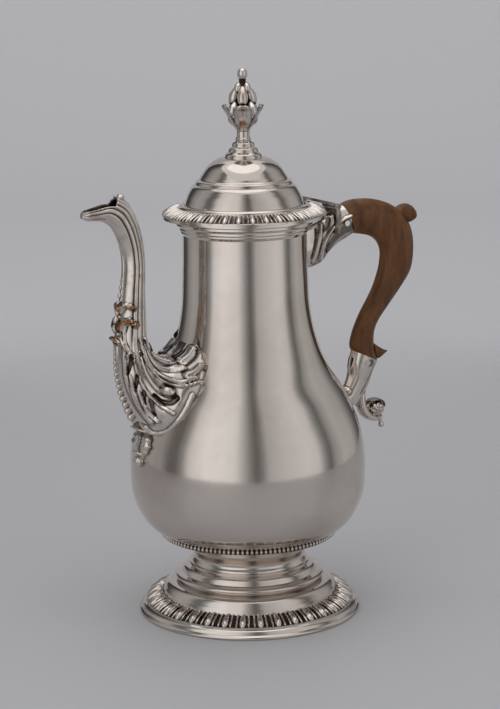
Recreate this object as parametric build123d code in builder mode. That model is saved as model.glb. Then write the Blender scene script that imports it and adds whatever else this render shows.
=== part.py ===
"""A silver coffee pot: a baluster body on a spreading foot, a domed lid on a hinge, a fluted
swan-neck spout and a wooden handle held in two silver sockets.  Millimetres, +Z up.  The foot
stands on z = 0, the body's axis is the Z axis, the spout points along -X and the handle along +X."""

import math
import os

from build123d import *

# ---------------------------------------------------------------- the foot
foot_radius = 62.6          # outer edge of the wire that the pot stands on
rim_wire_height = 2.6
rim_wire_width = 3.0
apron_radius = 61.0         # lower edge of the flared apron
apron_height = 2.8
ledge_radius = 58.9         # outer edge of the gadroon border
riser_radius = 48.8         # inner edge of the gadroon border
border_rise = 6.0           # height of the border at its inner edge
border_lip = 1.0            # height of the border at its outer edge
riser_margin = 1.2          # plain riser above the border
foot_sheet = 1.2
cover_height = 5.6          # quarter-round moulding
cover_radius = 40.6         # its inner edge
torus_height = 4.7
torus_radius = 42.0
step_height = 4.3           # small quarter-round above the torus
step_radius = 38.0
ring_height = 1.3           # reed at the foot of the throat
ring_radius = 33.8
throat_height = 14.3
throat_radius = 31.0        # narrowest part of the foot
flange_reach = 0.5          # of the flange under the body past the body's seat
flange_edge = 2.1           # thickness of the flange at its edge
milled_wire_reach = 2.0     # of the wire past the flange
gadroon_count = 36
gadroon_width = 5.4         # of a lobe on the foot
lid_gadroon_width = 4.2

# ---------------------------------------------------------------- the body
body_height = 177.1         # from the seat on the foot to the rim
body_sheet = 1.0
seat_share = 0.43           # of the swell, at the outer edge of the in-turned bottom
base_margin = 12.0          # width of the in-turned bottom round its opening
neck_seam_share = 0.593     # height of the seam between the bulb and the neck
belly_radius = 66.1
neck_radius = 34.4
rim_straight = 9.0          # cylindrical stretch under the rim
base_sheet = 1.0
base_lap = 3.4              # how far the base disc lies on the in-turned edge
mouth_height = 7.6          # moulding round the mouth
mouth_radius = 38.0
strainer_hole_radius = 1.2
strainer_pitch = 6.5

# ---------------------------------------------------------------- the lid
lid_gap = 0.3               # between the mouth and the lid's seat
lid_sheet = 0.9
bezel_sheet = 1.2
bezel_clearance = 0.6       # between the bezel and the body's bore
bezel_depth = 4.4
bezel_seat_radius = 40.5
flange_radius = 45.4        # outer edge of the lid's gadroon border
flange_ring_radius = 36.2   # inner edge of its gadroons
flange_rise = 5.4
flange_lip = 1.2
drum_radius = 33.0
drum_height = 17.4
shoulder_radius = 27.2
dome_radius = 25.0
dome_height = 14.2
dome_top_radius = 13.0

# ---------------------------------------------------------------- the finial
finial_base_radius = 10.8
finial_base_height = 7.3
stem_radius = 3.9
stem_height = 9.3
bud_radius = 7.2            # over the lowest scales
bud_height = 25.2
leaf_reach = 10.9
leaf_height = 11.2
leaf_sheet = 1.1
tip_radius = 3.1
tip_height = 7.2
finial_turn = 64.0          # degrees the finial is screwed round
screw_radius = 1.5
nut_radius = 4.0
nut_height = 2.4

# ---------------------------------------------------------------- the hinge
hinge_x = 54.5
hinge_rise = 3.8            # of the hinge's axis above the rim
knuckle_radius = 1.9
knuckle_length = 5.0
knuckle_gap = 0.3
hinge_pin_radius = 0.8
hinge_pin_clearance = 0.06
leaf_thickness = 1.3
leaf_root_width = 5.0       # of the lid's strap where it meets the drum

# ---------------------------------------------------------------- the handle and its sockets
handle_width = 14.0
tenon_depth = 7.0
tenon_shoulder = 3.2        # how much smaller than the handle's end the tenon is, up and down
tenon_cheek = 1.6           # and across
pin_radius = 1.0
pin_head_radius = 1.6
pin_head_height = 0.5
backplate_width = 17.0
backplate_sheet = 1.4
scroll_strap = 3.4
scroll_width = 9.0
scroll_reach = 6.6          # outer radius of the curl

# ---------------------------------------------------------------- the spout
spout_wall = 1.4
flute_count = 10
flute_depth = 0.06
upper_bead_count = 7
lower_bead_count = 11
drop_radius = 4.6
drop_ball_radius = 2.8

# ---------------------------------------------------------------- levels worked out from them
ledge_z = rim_wire_height + apron_height
border_top_z = ledge_z + border_rise
cover_base_z = border_top_z + riser_margin
cover_top_z = cover_base_z + cover_height
torus_top_z = cover_top_z + torus_height
step_top_z = torus_top_z + step_height
throat_base_z = step_top_z + ring_height
seat_z = throat_base_z + throat_height + flange_edge
flange_low_z = seat_z - flange_edge
rim_z = seat_z + body_height
lid_seat_z = rim_z + lid_gap
flange_base_z = lid_seat_z + bezel_sheet
flange_top_z = flange_base_z + lid_sheet
flange_ring_z = flange_top_z + flange_rise
shoulder_z = flange_top_z + drum_height
dome_top_z = shoulder_z + dome_height
stem_base_z = dome_top_z + finial_base_height
bud_base_z = stem_base_z + stem_height
tip_base_z = bud_base_z + bud_height
hinge_z = rim_z + hinge_rise
bore_radius = neck_radius - body_sheet
seat_radius = neck_radius + seat_share * (belly_radius - neck_radius)
base_bore = seat_radius - base_margin
foot_top_radius = seat_radius + flange_reach
milled_wire_radius = foot_top_radius + milled_wire_reach

os.makedirs("parts", exist_ok=True)


def write(part, name):
    """Label a finished piece and write its STEP file."""
    part.label = name
    export_step(part, f"parts/{name}.step")
    print(f"{name}: {part.volume:.1f} mm3")


def arc_between(start, end, bulge):
    """An arc whose middle stands off its chord by bulge, to the left of the way it runs."""
    run_x = end[0] - start[0]
    run_z = end[1] - start[1]
    chord = math.hypot(run_x, run_z)
    middle_x = (start[0] + end[0]) / 2 - run_z / chord * bulge
    middle_z = (start[1] + end[1]) / 2 + run_x / chord * bulge
    return ThreePointArc(start, (middle_x, middle_z), end)


def shifted(points, distance):
    """Copies of a row of profile points, moved by distance to the right of the way the row runs."""
    moved = []
    last = len(points) - 1
    for index, point in enumerate(points):
        before = points[max(index - 1, 0)]
        after = points[min(index + 1, last)]
        run = math.dist(before, after)
        side_x = (after[1] - before[1]) / run
        side_z = -(after[0] - before[0]) / run
        moved.append((point[0] + side_x * distance, point[1] + side_z * distance))
    return moved


# ================================================================ the foot
with BuildPart() as foot_rim_wire:
    with BuildSketch(Plane.XZ) as wire_section:
        with Locations((foot_radius - rim_wire_width / 2, rim_wire_height / 2)):
            Rectangle(rim_wire_width, rim_wire_height)
        outer_corners = wire_section.vertices().group_by(Axis.X)[-1].sort_by(Axis.Y)
        fillet(outer_corners[1], rim_wire_height * 0.42)
        fillet(wire_section.vertices().group_by(Axis.X)[-1].sort_by(Axis.Y)[0], rim_wire_height * 0.2)
    revolve(axis=Axis.Z)
write(foot_rim_wire.part, "foot_rim_wire")

throat_points = [
    (ring_radius - 1.4, throat_base_z),
    (throat_radius, throat_base_z + throat_height * 0.20),
    (throat_radius + 1.7, throat_base_z + throat_height * 0.48),
    (throat_radius + 5.7, throat_base_z + throat_height * 0.74),
    (throat_radius + 11.4, throat_base_z + throat_height * 0.93),
    (foot_top_radius, flange_low_z),
]
with BuildPart() as foot_shell:
    with BuildSketch(Plane.XZ):
        with BuildLine():
            arc_between((apron_radius, rim_wire_height), (ledge_radius, ledge_z), -0.5)
            Line((ledge_radius, ledge_z), (riser_radius, ledge_z))
            Line((riser_radius, ledge_z), (riser_radius, cover_base_z))
            arc_between((riser_radius, cover_base_z), (cover_radius, cover_top_z), -2.0)
            torus_middle = (torus_radius, (cover_top_z + torus_top_z) / 2)
            ThreePointArc((cover_radius, cover_top_z), torus_middle, (step_radius, torus_top_z))
            arc_between((step_radius, torus_top_z), (ring_radius, step_top_z), -1.2)
            arc_between((ring_radius, step_top_z), (ring_radius - 0.4, throat_base_z), -0.4)
            Line((ring_radius - 0.4, throat_base_z), throat_points[0])
            Spline(*throat_points, tangents=[(-0.3, 1), (1, 0.1)])
            inner_throat = [
                (foot_top_radius - 11.0, seat_z),
                (throat_radius + 3.6, throat_base_z + throat_height * 0.82),
                (throat_radius + 0.3, throat_base_z + throat_height * 0.50),
                (throat_radius - foot_sheet, throat_base_z + throat_height * 0.20),
                (ring_radius - 1.4 - foot_sheet, throat_base_z),
            ]
            Polyline(throat_points[-1], (foot_top_radius, seat_z), inner_throat[0])
            Spline(*inner_throat)
            Polyline(
                inner_throat[-1],
                (ring_radius - foot_sheet - 0.6, step_top_z),
                (step_radius - foot_sheet - 0.4, torus_top_z),
                (torus_radius - foot_sheet - 2.0, cover_top_z),
                (riser_radius - foot_sheet - 1.6, cover_base_z),
                (riser_radius - foot_sheet - 1.6, ledge_z - foot_sheet),
                (ledge_radius - foot_sheet, ledge_z - foot_sheet),
                (apron_radius - foot_sheet, rim_wire_height),
                (apron_radius, rim_wire_height),
            )
        make_face()
    revolve(axis=Axis.Z)
write(foot_shell.part, "foot_shell")


def gadroon_border(inner_radius, outer_radius, base_z, rise, lip, lobe_width, sink):
    """A sloping ring with a row of broad lobes that run down it from its inner to its outer edge."""
    slope = math.degrees(math.atan2(rise - lip, outer_radius - inner_radius))
    length = math.hypot(outer_radius - inner_radius, rise - lip)
    half_length = length / 2
    half_width = lobe_width / 2
    middle_radius = (inner_radius + outer_radius) / 2
    middle_z = base_z + (rise + lip) / 2
    lobe_axis = Plane(
        origin=(middle_radius, 0, middle_z - sink),
        x_dir=(math.cos(math.radians(slope)), 0, -math.sin(math.radians(slope))),
        z_dir=(0, -1, 0),
    )
    with BuildPart() as lobe:
        with BuildSketch(lobe_axis):
            with BuildLine():
                ThreePointArc((-half_length, 0), (0, half_width), (half_length, 0))
                Line((half_length, 0), (-half_length, 0))
            make_face()
        revolve(axis=Axis(lobe_axis.origin, lobe_axis.x_dir))
    with BuildPart() as border:
        with BuildSketch(Plane.XZ):
            with BuildLine():
                Polyline(
                    (inner_radius, base_z),
                    (outer_radius, base_z),
                    (outer_radius, base_z + lip * 0.6),
                    (inner_radius, base_z + rise - sink * 1.2),
                    close=True,
                )
            make_face()
        revolve(axis=Axis.Z)
        with PolarLocations(0, gadroon_count):
            add(lobe.part)
        with BuildSketch(Plane.XY.offset(base_z)):
            Circle(outer_radius * 1.2)
        extrude(amount=-rise, mode=Mode.SUBTRACT)
        with BuildSketch(Plane.XY.offset(base_z - rise)):
            Circle(inner_radius)
        extrude(amount=rise * 4, mode=Mode.SUBTRACT)
        with BuildSketch(Plane.XY.offset(base_z - rise)):
            Circle(outer_radius * 1.2)
            Circle(outer_radius, mode=Mode.SUBTRACT)
        extrude(amount=rise * 4, mode=Mode.SUBTRACT)
    return border.part


write(
    gadroon_border(riser_radius, ledge_radius, ledge_z, border_rise, border_lip, gadroon_width, 0.9),
    "foot_gadroon_border",
)

with BuildPart() as milled_wire:
    with BuildSketch(Plane.XZ):
        with BuildLine():
            Line((foot_top_radius, flange_low_z - 0.1), (foot_top_radius, seat_z))
            ThreePointArc(
                (foot_top_radius, seat_z),
                (milled_wire_radius, (flange_low_z + seat_z) / 2),
                (foot_top_radius, flange_low_z - 0.1),
            )
        make_face()
    revolve(axis=Axis.Z)
write(milled_wire.part, "milled_wire")


# ================================================================ the body
def body_point(height_share, swell_share):
    """A point of the body's outline, as shares of its height and of its swell beyond the neck."""
    swell = belly_radius - neck_radius
    return (neck_radius + swell_share * swell, seat_z + height_share * body_height)


body_points = [
    (neck_radius, rim_z - rim_straight),
    body_point(0.819, 0.018),
    body_point(0.7345, 0.04),
    body_point(0.658, 0.11),
    body_point(0.5646, 0.278),
    body_point(0.4519, 0.647),
    body_point(0.3393, 0.912),
    body_point(0.2056, 1.0),
    body_point(0.1215, 0.962),
    body_point(0.0678, 0.845),
    body_point(0.0282, 0.700),
    body_point(0.0096, 0.562),
    (seat_radius, seat_z),
]
inner_body_points = shifted(body_points, body_sheet)

with BuildPart() as body_blank:
    with BuildSketch(Plane.XZ):
        with BuildLine():
            Line((neck_radius, rim_z), body_points[0])
            Spline(*body_points, tangents=[(0, -1), (-1, -0.2)])
            Polyline((seat_radius, seat_z), (0, seat_z), (0, rim_z), (neck_radius, rim_z))
        make_face()
    revolve(axis=Axis.Z)

strainer_z = seat_z + 0.47 * body_height
with BuildPart() as vessel:
    with BuildSketch(Plane.XZ):
        with BuildLine():
            Line((neck_radius, rim_z), body_points[0])
            Spline(*body_points, tangents=[(0, -1), (-1, -0.2)])
            Polyline(
                (seat_radius, seat_z),
                (base_bore, seat_z),
                (base_bore, seat_z + body_sheet),
                (seat_radius - 0.4, seat_z + body_sheet),
            )
            inner_points = [
                (seat_radius - 0.4, seat_z + body_sheet),
                *reversed(inner_body_points[1:-1]),
                (bore_radius, rim_z - rim_straight),
            ]
            Spline(*inner_points, tangents=[(1, 0.2), (0, 1)])
            Polyline((bore_radius, rim_z - rim_straight), (bore_radius, rim_z), (neck_radius, rim_z))
        make_face()
    revolve(axis=Axis.Z)
    with BuildSketch(Plane(origin=(0, 0, strainer_z), x_dir=(0, 1, 0), z_dir=(-1, 0, 0))):
        with HexLocations(strainer_pitch / 2, 3, 3):
            Circle(strainer_hole_radius)
    extrude(amount=belly_radius, mode=Mode.SUBTRACT)

# the neck is soldered on the bulb
seam_plane = Plane.XY.offset(seat_z + neck_seam_share * body_height)
with BuildPart() as body_vessel:
    add(vessel.part)
    split(bisect_by=seam_plane, keep=Keep.BOTTOM)
write(body_vessel.part, "body_vessel")

with BuildPart() as body_neck:
    add(vessel.part)
    split(bisect_by=seam_plane, keep=Keep.TOP)
write(body_neck.part, "body_neck")

with BuildPart() as base_disc:
    with BuildSketch(Plane.XY.offset(seat_z + body_sheet)):
        Circle(base_bore + base_lap)
    extrude(amount=base_sheet)
write(base_disc.part, "base_disc")

with BuildPart() as mouth_moulding:
    with BuildSketch(Plane.XZ):
        with BuildLine():
            plate_z = rim_z - mouth_height * 0.26
            reed_z = plate_z - mouth_height * 0.30
            fillet_z = reed_z - mouth_height * 0.22
            foot_z = rim_z - mouth_height
            reach = mouth_radius - neck_radius
            Polyline(
                (neck_radius, foot_z),
                (neck_radius, rim_z),
                (mouth_radius - 0.4, rim_z),
                (mouth_radius, rim_z - 0.5),
                (mouth_radius, plate_z + 0.3),
                (neck_radius + reach * 0.72, plate_z),
            )
            arc_between((neck_radius + reach * 0.72, plate_z), (neck_radius + reach * 0.52, reed_z), -0.45)
            arc_between((neck_radius + reach * 0.52, reed_z), (neck_radius + reach * 0.34, fillet_z), -0.35)
            Line((neck_radius + reach * 0.34, fillet_z), (neck_radius, foot_z))
        make_face()
    revolve(axis=Axis.Z)
write(mouth_moulding.part, "mouth_moulding")

# ================================================================ the lid
bezel_radius = bore_radius - bezel_clearance
with BuildPart() as lid_bezel:
    with BuildSketch(Plane.XZ):
        with BuildLine():
            Polyline(
                (bezel_radius, lid_seat_z),
                (bezel_seat_radius, lid_seat_z),
                (bezel_seat_radius, flange_base_z),
                (bezel_radius - bezel_sheet, flange_base_z),
                (bezel_radius - bezel_sheet, lid_seat_z - bezel_depth),
                (bezel_radius - 0.4, lid_seat_z - bezel_depth),
                (bezel_radius, lid_seat_z - bezel_depth + 0.8),
                close=True,
            )
        make_face()
    revolve(axis=Axis.Z)
write(lid_bezel.part, "lid_bezel")

drum_points = [
    (drum_radius, flange_ring_z + 0.6),
    (drum_radius - 1.1, shoulder_z - 7.3),
    (drum_radius - 2.6, shoulder_z - 3.8),
    (shoulder_radius, shoulder_z),
]
dome_points = [
    (dome_radius, shoulder_z + 0.7),
    (dome_radius - 2.8, shoulder_z + dome_height * 0.48),
    (dome_radius - 5.6, shoulder_z + dome_height * 0.73),
    (dome_top_radius, dome_top_z),
]
inner_drum_points = shifted(drum_points, -lid_sheet)
inner_dome_points = shifted(dome_points, -lid_sheet)
screw_hole_radius = screw_radius + 0.2
with BuildPart() as lid_dome:
    with BuildSketch(Plane.XZ):
        with BuildLine():
            Polyline(
                (drum_radius - lid_sheet, flange_base_z),
                (flange_radius - 0.4, flange_base_z),
                (flange_radius - 0.4, flange_top_z),
                (drum_radius, flange_top_z),
                drum_points[0],
            )
            Spline(*drum_points, tangents=[(0, 1), (-1, 0.25)])
            Line(drum_points[-1], dome_points[0])
            Spline(*dome_points, tangents=[(0, 1), (-1, 0.35)])
            Polyline(
                dome_points[-1],
                (screw_hole_radius, dome_top_z),
                (screw_hole_radius, dome_top_z - lid_sheet),
                inner_dome_points[-1],
            )
            Spline(*reversed(inner_dome_points), tangents=[(1, -0.35), (0, -1)])
            Line(inner_dome_points[0], inner_drum_points[-1])
            Spline(*reversed(inner_drum_points), tangents=[(1, -0.25), (0, -1)])
            Line(inner_drum_points[0], (drum_radius - lid_sheet, flange_base_z))
        make_face()
    revolve(axis=Axis.Z)
    with BuildSketch(Plane.XZ):
        with BuildLine():
            step_foot = (shoulder_radius - 0.3, shoulder_z + 0.1)
            step_head = (dome_radius - 0.2, shoulder_z + 2.6)
            Line(step_foot, (dome_radius - 0.2, shoulder_z + 0.5))
            Line((dome_radius - 0.2, shoulder_z + 0.5), step_head)
            arc_between(step_head, step_foot, 0.7)
        make_face()
    revolve(axis=Axis.Z)
write(lid_dome.part, "lid_dome")

lid_border_blank = gadroon_border(
    flange_ring_radius, flange_radius, flange_top_z, flange_rise, flange_lip, lid_gadroon_width, 0.7
)
with BuildPart() as lid_border:
    add(lid_border_blank)
    with BuildSketch(Plane.XZ):
        with BuildLine():
            Polyline(
                (drum_radius, flange_top_z),
                (flange_ring_radius + 0.4, flange_top_z),
                (flange_ring_radius + 0.4, flange_ring_z),
                (drum_radius, flange_ring_z),
                close=True,
            )
        make_face()
    revolve(axis=Axis.Z)
write(lid_border.part, "lid_gadroon_border")

# ================================================================ the finial
with BuildPart() as finial_base:
    with BuildSketch(Plane.XZ):
        with BuildLine():
            reed = finial_base_height / 3
            radii = (
                finial_base_radius,
                finial_base_radius * 0.82,
                finial_base_radius * 0.66,
                finial_base_radius * 0.52,
            )
            Line((0, stem_base_z), (0, dome_top_z))
            Line((0, dome_top_z), (radii[0], dome_top_z))
            for index in range(3):
                low = (radii[index], dome_top_z + reed * index)
                high = (radii[index + 1], dome_top_z + reed * (index + 1))
                arc_between(low, high, -0.6)
            Line((radii[3], stem_base_z), (0, stem_base_z))
        make_face()
    revolve(axis=Axis.Z)
    with BuildSketch(Plane.XY.offset(dome_top_z)):
        Circle(screw_radius)
    extrude(amount=finial_base_height, mode=Mode.SUBTRACT)
write(finial_base.part, "finial_base")

with BuildPart() as finial_stem:
    with BuildSketch(Plane.XZ):
        with BuildLine():
            Line((0, stem_base_z), (stem_radius * 1.35, stem_base_z))
            Line((stem_radius * 1.35, stem_base_z), (stem_radius * 1.35, stem_base_z + 0.8))
            Spline(
                (stem_radius * 1.35, stem_base_z + 0.8),
                (stem_radius, stem_base_z + stem_height * 0.45),
                (stem_radius * 1.1, bud_base_z),
                tangents=[(-0.6, 1), (0.3, 1)],
            )
            Line((stem_radius * 1.1, bud_base_z), (0, bud_base_z))
            Line((0, bud_base_z), (0, stem_base_z))
        make_face()
    revolve(axis=Axis.Z)
write(finial_stem.part, "finial_stem")

leaf_count = 4
cup_points = [
    (stem_radius * 1.1, bud_base_z),
    (leaf_reach * 0.62, bud_base_z + leaf_height * 0.22),
    (leaf_reach * 0.80, bud_base_z + leaf_height * 0.50),
    (leaf_reach * 0.88, bud_base_z + leaf_height * 0.78),
    (leaf_reach, bud_base_z + leaf_height),
]
inner_cup_points = shifted(cup_points, -leaf_sheet)
with BuildPart() as leaf_cup:
    with BuildSketch(Plane.XZ):
        with BuildLine():
            Line((0, bud_base_z), cup_points[0])
            Spline(*cup_points)
            Line(cup_points[-1], inner_cup_points[-1])
            Spline(*reversed(inner_cup_points[1:]))
            Polyline(
                inner_cup_points[1],
                (stem_radius * 0.8, bud_base_z + leaf_sheet),
                (0, bud_base_z + leaf_sheet),
                (0, bud_base_z),
            )
        make_face()
    revolve(axis=Axis.Z)
    notch_low = bud_base_z + leaf_height * 0.36
    notch_high = bud_base_z + leaf_height * 1.2
    gap_reach = leaf_reach * math.sin(math.pi / leaf_count)
    for index in range(leaf_count):
        towards = math.radians(finial_turn + (index + 0.5) * 360 / leaf_count)
        outward = (math.cos(towards), math.sin(towards), 0)
        across = (-math.sin(towards), math.cos(towards), 0)
        with BuildSketch(Plane(origin=(0, 0, notch_low), x_dir=across, z_dir=outward)):
            with BuildLine():
                Polyline(
                    (0, 0),
                    (gap_reach * 0.30, leaf_height * 0.26),
                    (gap_reach * 0.52, leaf_height * 0.46),
                    (gap_reach * 1.02, leaf_height * 0.66),
                    (gap_reach * 1.02, notch_high - notch_low),
                    (0, notch_high - notch_low),
                    close=True,
                )
            make_face()
            mirror(about=Plane.YZ)
        extrude(amount=leaf_reach * 1.3, mode=Mode.SUBTRACT)
write(leaf_cup.part, "finial_leaf_cup")

bud_floor_z = bud_base_z + leaf_sheet
tier_radius = (bud_radius * 0.66, bud_radius * 0.58, bud_radius * 0.42)
tier_share = (0.48, 0.69, 0.88)
tier_half_width = (2.6, 2.5, 1.9)
tier_point = (5.6, 5.6, 4.0)       # from the middle of a scale to its tip
tier_lean = (-10, 2, 10)
with BuildPart() as finial_bud:
    with BuildSketch(Plane.XZ):
        with BuildLine():
            core_foot = (stem_radius * 0.7, bud_floor_z)
            core_head = (tip_radius * 0.6, tip_base_z)
            core_waist = (bud_radius * 0.66, bud_base_z + bud_height * 0.50)
            Line(core_foot, core_waist)
            Line(core_waist, core_head)
            Polyline(core_head, (0, tip_base_z), (0, bud_floor_z), core_foot)
        make_face()
    revolve(axis=Axis.Z)
    for tier in range(3):
        lean = math.radians(tier_lean[tier])
        for index in range(leaf_count):
            towards = math.radians(finial_turn + (index + 0.5 * (tier != 1)) * 360 / leaf_count)
            outward = (math.cos(towards), math.sin(towards), 0)
            centre = (
                outward[0] * tier_radius[tier],
                outward[1] * tier_radius[tier],
                bud_base_z + bud_height * tier_share[tier],
            )
            up_axis = (-outward[0] * math.sin(lean), -outward[1] * math.sin(lean), math.cos(lean))
            half_width = tier_half_width[tier]
            with Locations(Plane(origin=centre, z_dir=up_axis)):
                Sphere(half_width)
            tangent_rise = half_width ** 2 / tier_point[tier]
            tangent_radius = math.sqrt(half_width ** 2 - tangent_rise ** 2)
            tip_length = (tier_point[tier] - tangent_rise) * 0.9
            with Locations(Plane(origin=centre, z_dir=up_axis).offset(tangent_rise)):
                Cone(
                    tangent_radius, tangent_radius * 0.1, tip_length,
                    align=(Align.CENTER, Align.CENTER, Align.MIN),
                )
write(finial_bud.part, "finial_bud")

with BuildPart() as finial_tip:
    with BuildSketch(Plane.XZ):
        with BuildLine():
            egg_low = tip_base_z + 0.6
            egg_height = tip_height - 0.6
            Line((0, tip_base_z), (tip_radius * 0.6, tip_base_z))
            Line((tip_radius * 0.6, tip_base_z), (tip_radius * 0.55, egg_low + 0.2))
            Spline(
                (tip_radius * 0.55, egg_low + 0.2),
                (tip_radius, egg_low + egg_height * 0.52),
                (0, tip_base_z + tip_height),
                tangents=[(0.8, 1), (-1, 0)],
            )
            Line((0, tip_base_z + tip_height), (0, tip_base_z))
        make_face()
    revolve(axis=Axis.Z)
write(finial_tip.part, "finial_tip")

dome_under_z = dome_top_z - lid_sheet
with BuildPart() as finial_screw:
    with BuildSketch(Plane.XY.offset(dome_under_z - nut_height - 1.2)):
        Circle(screw_radius)
    extrude(amount=stem_base_z - (dome_under_z - nut_height - 1.2))
write(finial_screw.part, "finial_screw")

with BuildPart() as finial_nut:
    with BuildSketch(Plane.XY.offset(dome_under_z - nut_height)):
        RegularPolygon(nut_radius, 6)
        Circle(screw_radius, mode=Mode.SUBTRACT)
    extrude(amount=nut_height)
write(finial_nut.part, "finial_nut")


# ================================================================ the handle and its sockets
def cross_plane(high, low):
    """The plane through two points of the XZ plane and the Y direction, centred between them."""
    across_x = (high[0] - low[0]) / math.dist(high, low)
    across_z = (high[1] - low[1]) / math.dist(high, low)
    middle = ((high[0] + low[0]) / 2, 0, (high[1] + low[1]) / 2)
    return Plane(origin=middle, x_dir=(across_x, 0, across_z), z_dir=(across_z, 0, -across_x))


def draw_oval(half_long, half_short):
    """An ellipse in four quarters, so that lofted ovals keep their quarters in line."""
    for quarter in range(4):
        angles = [math.pi / 2 * quarter + math.pi / 8 * step for step in range(5)]
        points = [(half_long * math.cos(turn), half_short * math.sin(turn)) for turn in angles]
        ends = [
            (-half_long * math.sin(turn), half_short * math.cos(turn))
            for turn in (angles[0], angles[-1])
        ]
        Spline(*points, tangents=ends)


def lofted_ovals(stations, inset=0.0):
    """A solid through ovals, each given by its outer point, its inner point and its half width."""
    with BuildPart() as form:
        for high, low, half_width in stations:
            with BuildSketch(cross_plane(high, low)):
                with BuildLine():
                    draw_oval(math.dist(high, low) / 2 - inset, half_width - inset)
                make_face()
        loft()
    return form.part


# outer point, inner point and half width of the handle's sections, from the upper socket to the lower one
upper_joint = ((60.2, rim_z + 4.0), (67.6, rim_z - 12.8))
lower_joint = ((83.0, rim_z - 87.8), (67.2, rim_z - 80.3))
half = handle_width / 2
handle_stations = (
    (*upper_joint, half * 0.90),
    ((70.6, rim_z + 6.6), (73.4, rim_z - 13.7), half * 0.95),
    ((84.6, rim_z + 5.0), (79.6, rim_z - 15.6), half),
    ((96.3, rim_z - 0.4), (83.4, rim_z - 18.7), half),
    ((103.7, rim_z - 8.6), (85.5, rim_z - 22.6), half),
    ((106.9, rim_z - 21.6), (86.0, rim_z - 28.2), half),
    ((105.2, rim_z - 35.6), (84.9, rim_z - 34.6), half * 0.98),
    ((97.2, rim_z - 47.3), (82.2, rim_z - 42.6), half * 0.95),
    ((89.9, rim_z - 56.0), (78.1, rim_z - 50.8), half * 0.92),
    ((83.5, rim_z - 64.0), (71.8, rim_z - 61.4), half * 0.90),
    ((80.6, rim_z - 72.4), (67.4, rim_z - 71.6), half * 0.90),
    ((81.0, rim_z - 80.0), (66.2, rim_z - 76.6), half * 0.92),
    (*lower_joint, half * 0.95),
)

thumb_spur_stations = (
    ((94.8, rim_z - 0.6), (93.6, rim_z - 5.4), 2.6),
    ((98.5, rim_z + 1.1), (96.6, rim_z - 6.8), 3.8),
    ((103.3, rim_z + 1.6), (100.9, rim_z - 8.6), 4.3),
    ((107.3, rim_z - 0.8), (104.3, rim_z - 9.2), 3.8),
    ((109.3, rim_z - 4.4), (107.9, rim_z - 7.8), 2.2),
)
heel_spur_stations = (
    ((79.5, rim_z - 76.0), (80.5, rim_z - 85.0), 4.8),
    ((84.0, rim_z - 79.4), (84.8, rim_z - 86.4), 3.4),
    ((87.4, rim_z - 81.5), (87.8, rim_z - 84.7), 1.8),
    ((90.1, rim_z - 82.5), (90.3, rim_z - 83.3), 0.6),
)
upper_end = cross_plane(*upper_joint)
lower_end = cross_plane(*lower_joint)
upper_size = math.dist(*upper_joint) / 2
lower_size = math.dist(*lower_joint) / 2


def pin_plane(end_plane, way):
    """The XZ plane, centred on the handle pin that crosses a tenon at half its depth."""
    middle = end_plane.origin + end_plane.z_dir * (way * tenon_depth * 0.5)
    return Plane(origin=middle, x_dir=(1, 0, 0), z_dir=(0, -1, 0))


upper_pin_plane = pin_plane(upper_end, -1)
lower_pin_plane = pin_plane(lower_end, 1)
with BuildPart() as handle:
    add(lofted_ovals(handle_stations))
    add(lofted_ovals(thumb_spur_stations))
    add(lofted_ovals(heel_spur_stations))
    for end_plane, size, way in ((upper_end, upper_size, -1), (lower_end, lower_size, 1)):
        with BuildSketch(end_plane):
            Ellipse(size - tenon_shoulder, half * 0.9 - tenon_cheek)
        extrude(amount=way * tenon_depth)
    for plane in (upper_pin_plane, lower_pin_plane):
        with BuildSketch(plane):
            Circle(pin_radius)
        extrude(amount=handle_width, both=True, mode=Mode.SUBTRACT)
write(handle.part, "handle")

# the silver sockets are cast round the handle's two tenons and stand on the body
upper_socket_stations = (
    ((31.0, rim_z - 11.5), (31.0, rim_z - 30.5), 4.6),
    ((38.8, rim_z - 10.0), (38.8, rim_z - 29.9), 5.2),
    ((46.0, rim_z - 7.5), (46.5, rim_z - 28.6), 5.8),
    ((52.6, rim_z - 3.4), (55.0, rim_z - 23.0), 6.6),
    ((57.4, rim_z + 2.0), (61.2, rim_z - 17.6), half * 0.95),
    (*upper_joint, half * 0.95),
)
lower_socket_stations = (
    (*lower_joint, half * 0.98),
    ((79.8, rim_z - 93.6), (64.6, rim_z - 91.6), half * 0.92),
    ((75.4, rim_z - 104.6), (62.6, rim_z - 101.4), half * 0.80),
    ((67.6, rim_z - 114.4), (55.0, rim_z - 107.6), half * 0.72),
)


def tenon_hole(end_plane, size, way):
    """The room for one of the handle's tenons, to be taken out of its socket."""
    with BuildPart() as hole:
        with BuildSketch(end_plane):
            Ellipse(size - tenon_shoulder, half * 0.9 - tenon_cheek)
        extrude(amount=way * (tenon_depth + 0.2))
    return hole.part


with BuildPart() as upper_socket:
    add(lofted_ovals(upper_socket_stations))
    add(tenon_hole(upper_end, upper_size, -1), mode=Mode.SUBTRACT)
    add(body_blank.part, mode=Mode.SUBTRACT)
    with BuildSketch(upper_pin_plane):
        Circle(pin_radius)
    extrude(amount=handle_width, both=True, mode=Mode.SUBTRACT)
write(upper_socket.part, "upper_socket")

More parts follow.
